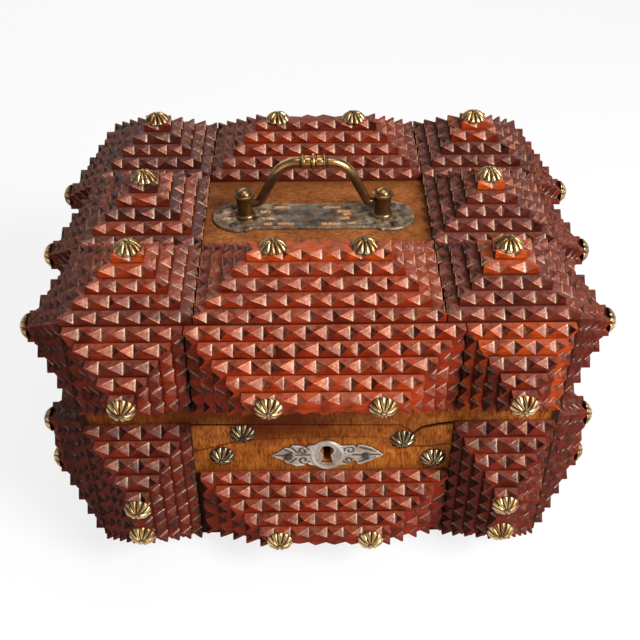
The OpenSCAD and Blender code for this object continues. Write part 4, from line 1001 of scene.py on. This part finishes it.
def boss():
    """The escutcheon's long round middle: straight lines from the keyhole's edge out to an oval."""
    bow = np.radians(np.linspace(90, 235, 40))
    foot_y = KEYHOLE_RISE - KEYHOLE_DROP
    slot = [(-1.9, KEYHOLE_RISE - 3.6), (-2.9, foot_y + 0.8), (-2.5, foot_y), (0, foot_y)]
    left_half = np.r_[np.c_[KEYHOLE_R * np.cos(bow), KEYHOLE_RISE + KEYHOLE_R * np.sin(bow)], slot]
    outline = np.r_[left_half, (left_half * [-1, 1])[-2:0:-1]]
    outline = np.r_[outline, outline[:1]]
    run = np.r_[0, np.cumsum(np.hypot(*np.diff(outline, axis=0).T))]
    lap = np.linspace(0, run[-1], 120, endpoint=False)
    hole = np.c_[np.interp(lap, run, outline[:, 0]), np.interp(lap, run, outline[:, 1])]
    turn = np.pi / 2 + 2 * np.pi * lap / run[-1]
    oval = np.c_[BOSS_HALF_W * np.cos(turn), BOSS_R * np.sin(turn)]
    out = np.linspace(0, 1, 26)[:, None, None]
    flat = hole * (1 - out) + oval * out
    share = np.hypot(flat[..., 0] / BOSS_HALF_W, flat[..., 1] / BOSS_R)
    rim = bell(share, 0.86, 0.09)
    lip = bell(out[..., 0], 0, 0.1)
    height = 1.0 + 0.45 * rim + 0.2 * lip - 0.45 * smoothstep(0.93, 1, share)
    top = np.concatenate([flat, height[..., None]], -1)
    worn = np.clip(0.52 + 0.5 * rim + 0.4 * lip, 0, 1)
    return top, worn


def escutcheon():
    """The keyhole plate: its round middle and two arms, each a closed shell on the rail."""
    points, faces, worn = [], [], []
    first = 0
    arms = ((-1, LEAF_UPPER, LEAF_LOWER, LEAF_RELIEF), (1, ARROW_UPPER, ARROW_LOWER, ARROW_RELIEF))
    for side, upper, lower, relief in arms:
        top, rubbed = arm(side, upper, lower, relief)
        shell, shell_faces, border = slab(top, side < 0)
        points.append(shell)
        faces += [[first + corner for corner in face] for face in shell_faces]
        worn += [rubbed.ravel(), np.zeros(border)]
        first += len(shell)
    top, rubbed = boss()
    rows, columns = rubbed.shape
    ring = np.concatenate([top[:1] * [1, 1, 0], top, top[-1:] * [1, 1, 0]])
    faces += grid_faces(rows + 2, columns, first)[:, ::-1].tolist()
    hole_foot = first + np.arange(columns)
    rim_foot = hole_foot + (rows + 1) * columns
    faces += np.c_[hole_foot, np.roll(hole_foot, -1), np.roll(rim_foot, -1), rim_foot].tolist()
    points.append(ring.reshape(-1, 3))
    worn.append(np.r_[np.zeros(columns), rubbed.ravel(), np.zeros(columns)])
    foot = np.array([LOCK_X, front_y, ESCUTCHEON_Z])
    placed = foot + np.concatenate(points) @ front_axes
    piece("cast_escutcheon", placed, faces, "base", "escutcheon_pewter", PEWTER, "escutcheon", 40,
          hollow=np.concatenate(worn))


escutcheon()

# Plain boards and fittings keep their solids, with their own finishes
FINISHES = (
    (RAIL_WOOD, ("base_front_board",)),
    (PANEL_WOOD, ("lid_panel",)),
    (ACROSS_WOOD, ("base_bottom", "base_back_board", "lid_front_board", "lid_back_board")),
    (DEEP_WOOD, ("base_left_board", "base_right_board", "lid_left_board", "lid_right_board")),
    (IRON, ("lock_case", "lock_staple", "hinge_pins")),
    (NAIL_STEEL, ("escutcheon_nails", "handle_pins")),
    (FITTING_BRASS, ("lock_bolt", "base_screws", "lid_screws", "hinge_base_leaves", "hinge_lid_leaves")),
)
for finish, nodes in FINISHES:
    for node in nodes:
        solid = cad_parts[node]
        solid.data.materials.clear()
        solid.data.materials.append(finish)


# Stage, light and camera

# In metres and watts; a lamp has its name, place, the height it looks at, its size and power
FLOOR_GLOW = 0.82
FLOOR_R = 3.0
BACKDROP_H = 1.0
SKY_LIGHT = 0.1
LAMPS = (
    ("key", (0.62, -0.5, 0.75), 0.08, 0.36, 14.5),
    ("fill", (-0.7, -0.9, 0.6), 0.08, 0.9, 1.6),
    ("top", (0.1, 0.0, 1.3), 0.1, 0.6, 4.0),
    ("back", (-0.4, 1.0, 0.7), 0.08, 0.9, 3.4),
)

# The photo's camera: angles in degrees and lengths in mm
CAMERA_YAW = 0.9
CAMERA_PITCH = 40.29
CAMERA_AWAY = 425.06
CAMERA_TARGET = (0.0, -87.44, 146.0)
CAMERA_LENS = 54.36
CAMERA_SHIFT_Y = 0.0059


def floor():
    """A pale floor that sweeps up into a low backdrop: a quarter circle turned about the middle."""
    material, add = new_material("paper_floor")
    paper = add("BsdfDiffuse", {"Color": "#f2f2f3"})
    white = add("Emission", {"Color": (1, 1, 1, 1), "Strength": 1.0})
    ray = add("LightPath", {}).node.outputs
    seen = ray["Is Camera Ray"]
    for kind in ("Is Glossy Ray", "Is Transmission Ray"):
        seen = add("Math", {0: seen, 1: ray[kind]}, operation="MAXIMUM")
    share = add("Math", {0: seen, 1: FLOOR_GLOW}, operation="MULTIPLY")
    shader = add("MixShader", {0: share, 1: paper, 2: white})
    add("OutputMaterial", {"Surface": shader})
    mesh = bpy.data.meshes.new("floor")
    bend = np.linspace(0, np.pi / 2, 25)[:, None]
    turn = full_turn(96)
    radius = FLOOR_R + BACKDROP_H * np.sin(bend)
    height = BACKDROP_H * (1 - np.cos(bend))
    points = turned(radius, height, turn).reshape(-1, 3)
    faces = grid_faces(bend.size, turn.size).tolist()
    faces.append(list(range(turn.size)))
    mesh.from_pydata(points.tolist(), [], faces)
    mesh.materials.append(material)
    made = stand("floor", mesh)


def aim(made, place, target):
    """Stands an object at a place in metres with its -Z axis on the target and +Y upwards."""
    look = mathutils.Vector(target) - mathutils.Vector(place)
    turn = look.to_track_quat("-Z", "Y").to_matrix().to_4x4()
    made.matrix_world = mathutils.Matrix.Translation(place) @ turn


floor()
for name, place, height, size, power in LAMPS:
    lamp = bpy.data.lights.new(name, "AREA")
    lamp.size = size
    lamp.energy = power
    aim(stand(name, lamp), place, (0, 0, height))

world = bpy.data.worlds.new("studio")
world.use_nodes = True
sky = world.node_tree.nodes["Background"].inputs
sky["Color"].default_value = (1, 1, 1, 1)
sky["Strength"].default_value = SKY_LIGHT
bpy.context.scene.world = world
bpy.context.scene.view_settings.view_transform = "Standard"

yaw, pitch = np.radians([CAMERA_YAW, CAMERA_PITCH])
forward = np.array([np.sin(yaw) * np.cos(pitch), np.cos(yaw) * np.cos(pitch), -np.sin(pitch)])
camera = stand("camera", bpy.data.cameras.new("camera"))
camera.data.lens = CAMERA_LENS
camera.data.shift_y = CAMERA_SHIFT_Y
camera.data.clip_start = 0.01
target = np.array(CAMERA_TARGET) * MM
aim(camera, target - forward * CAMERA_AWAY * MM, target)
bpy.context.scene.camera = camera
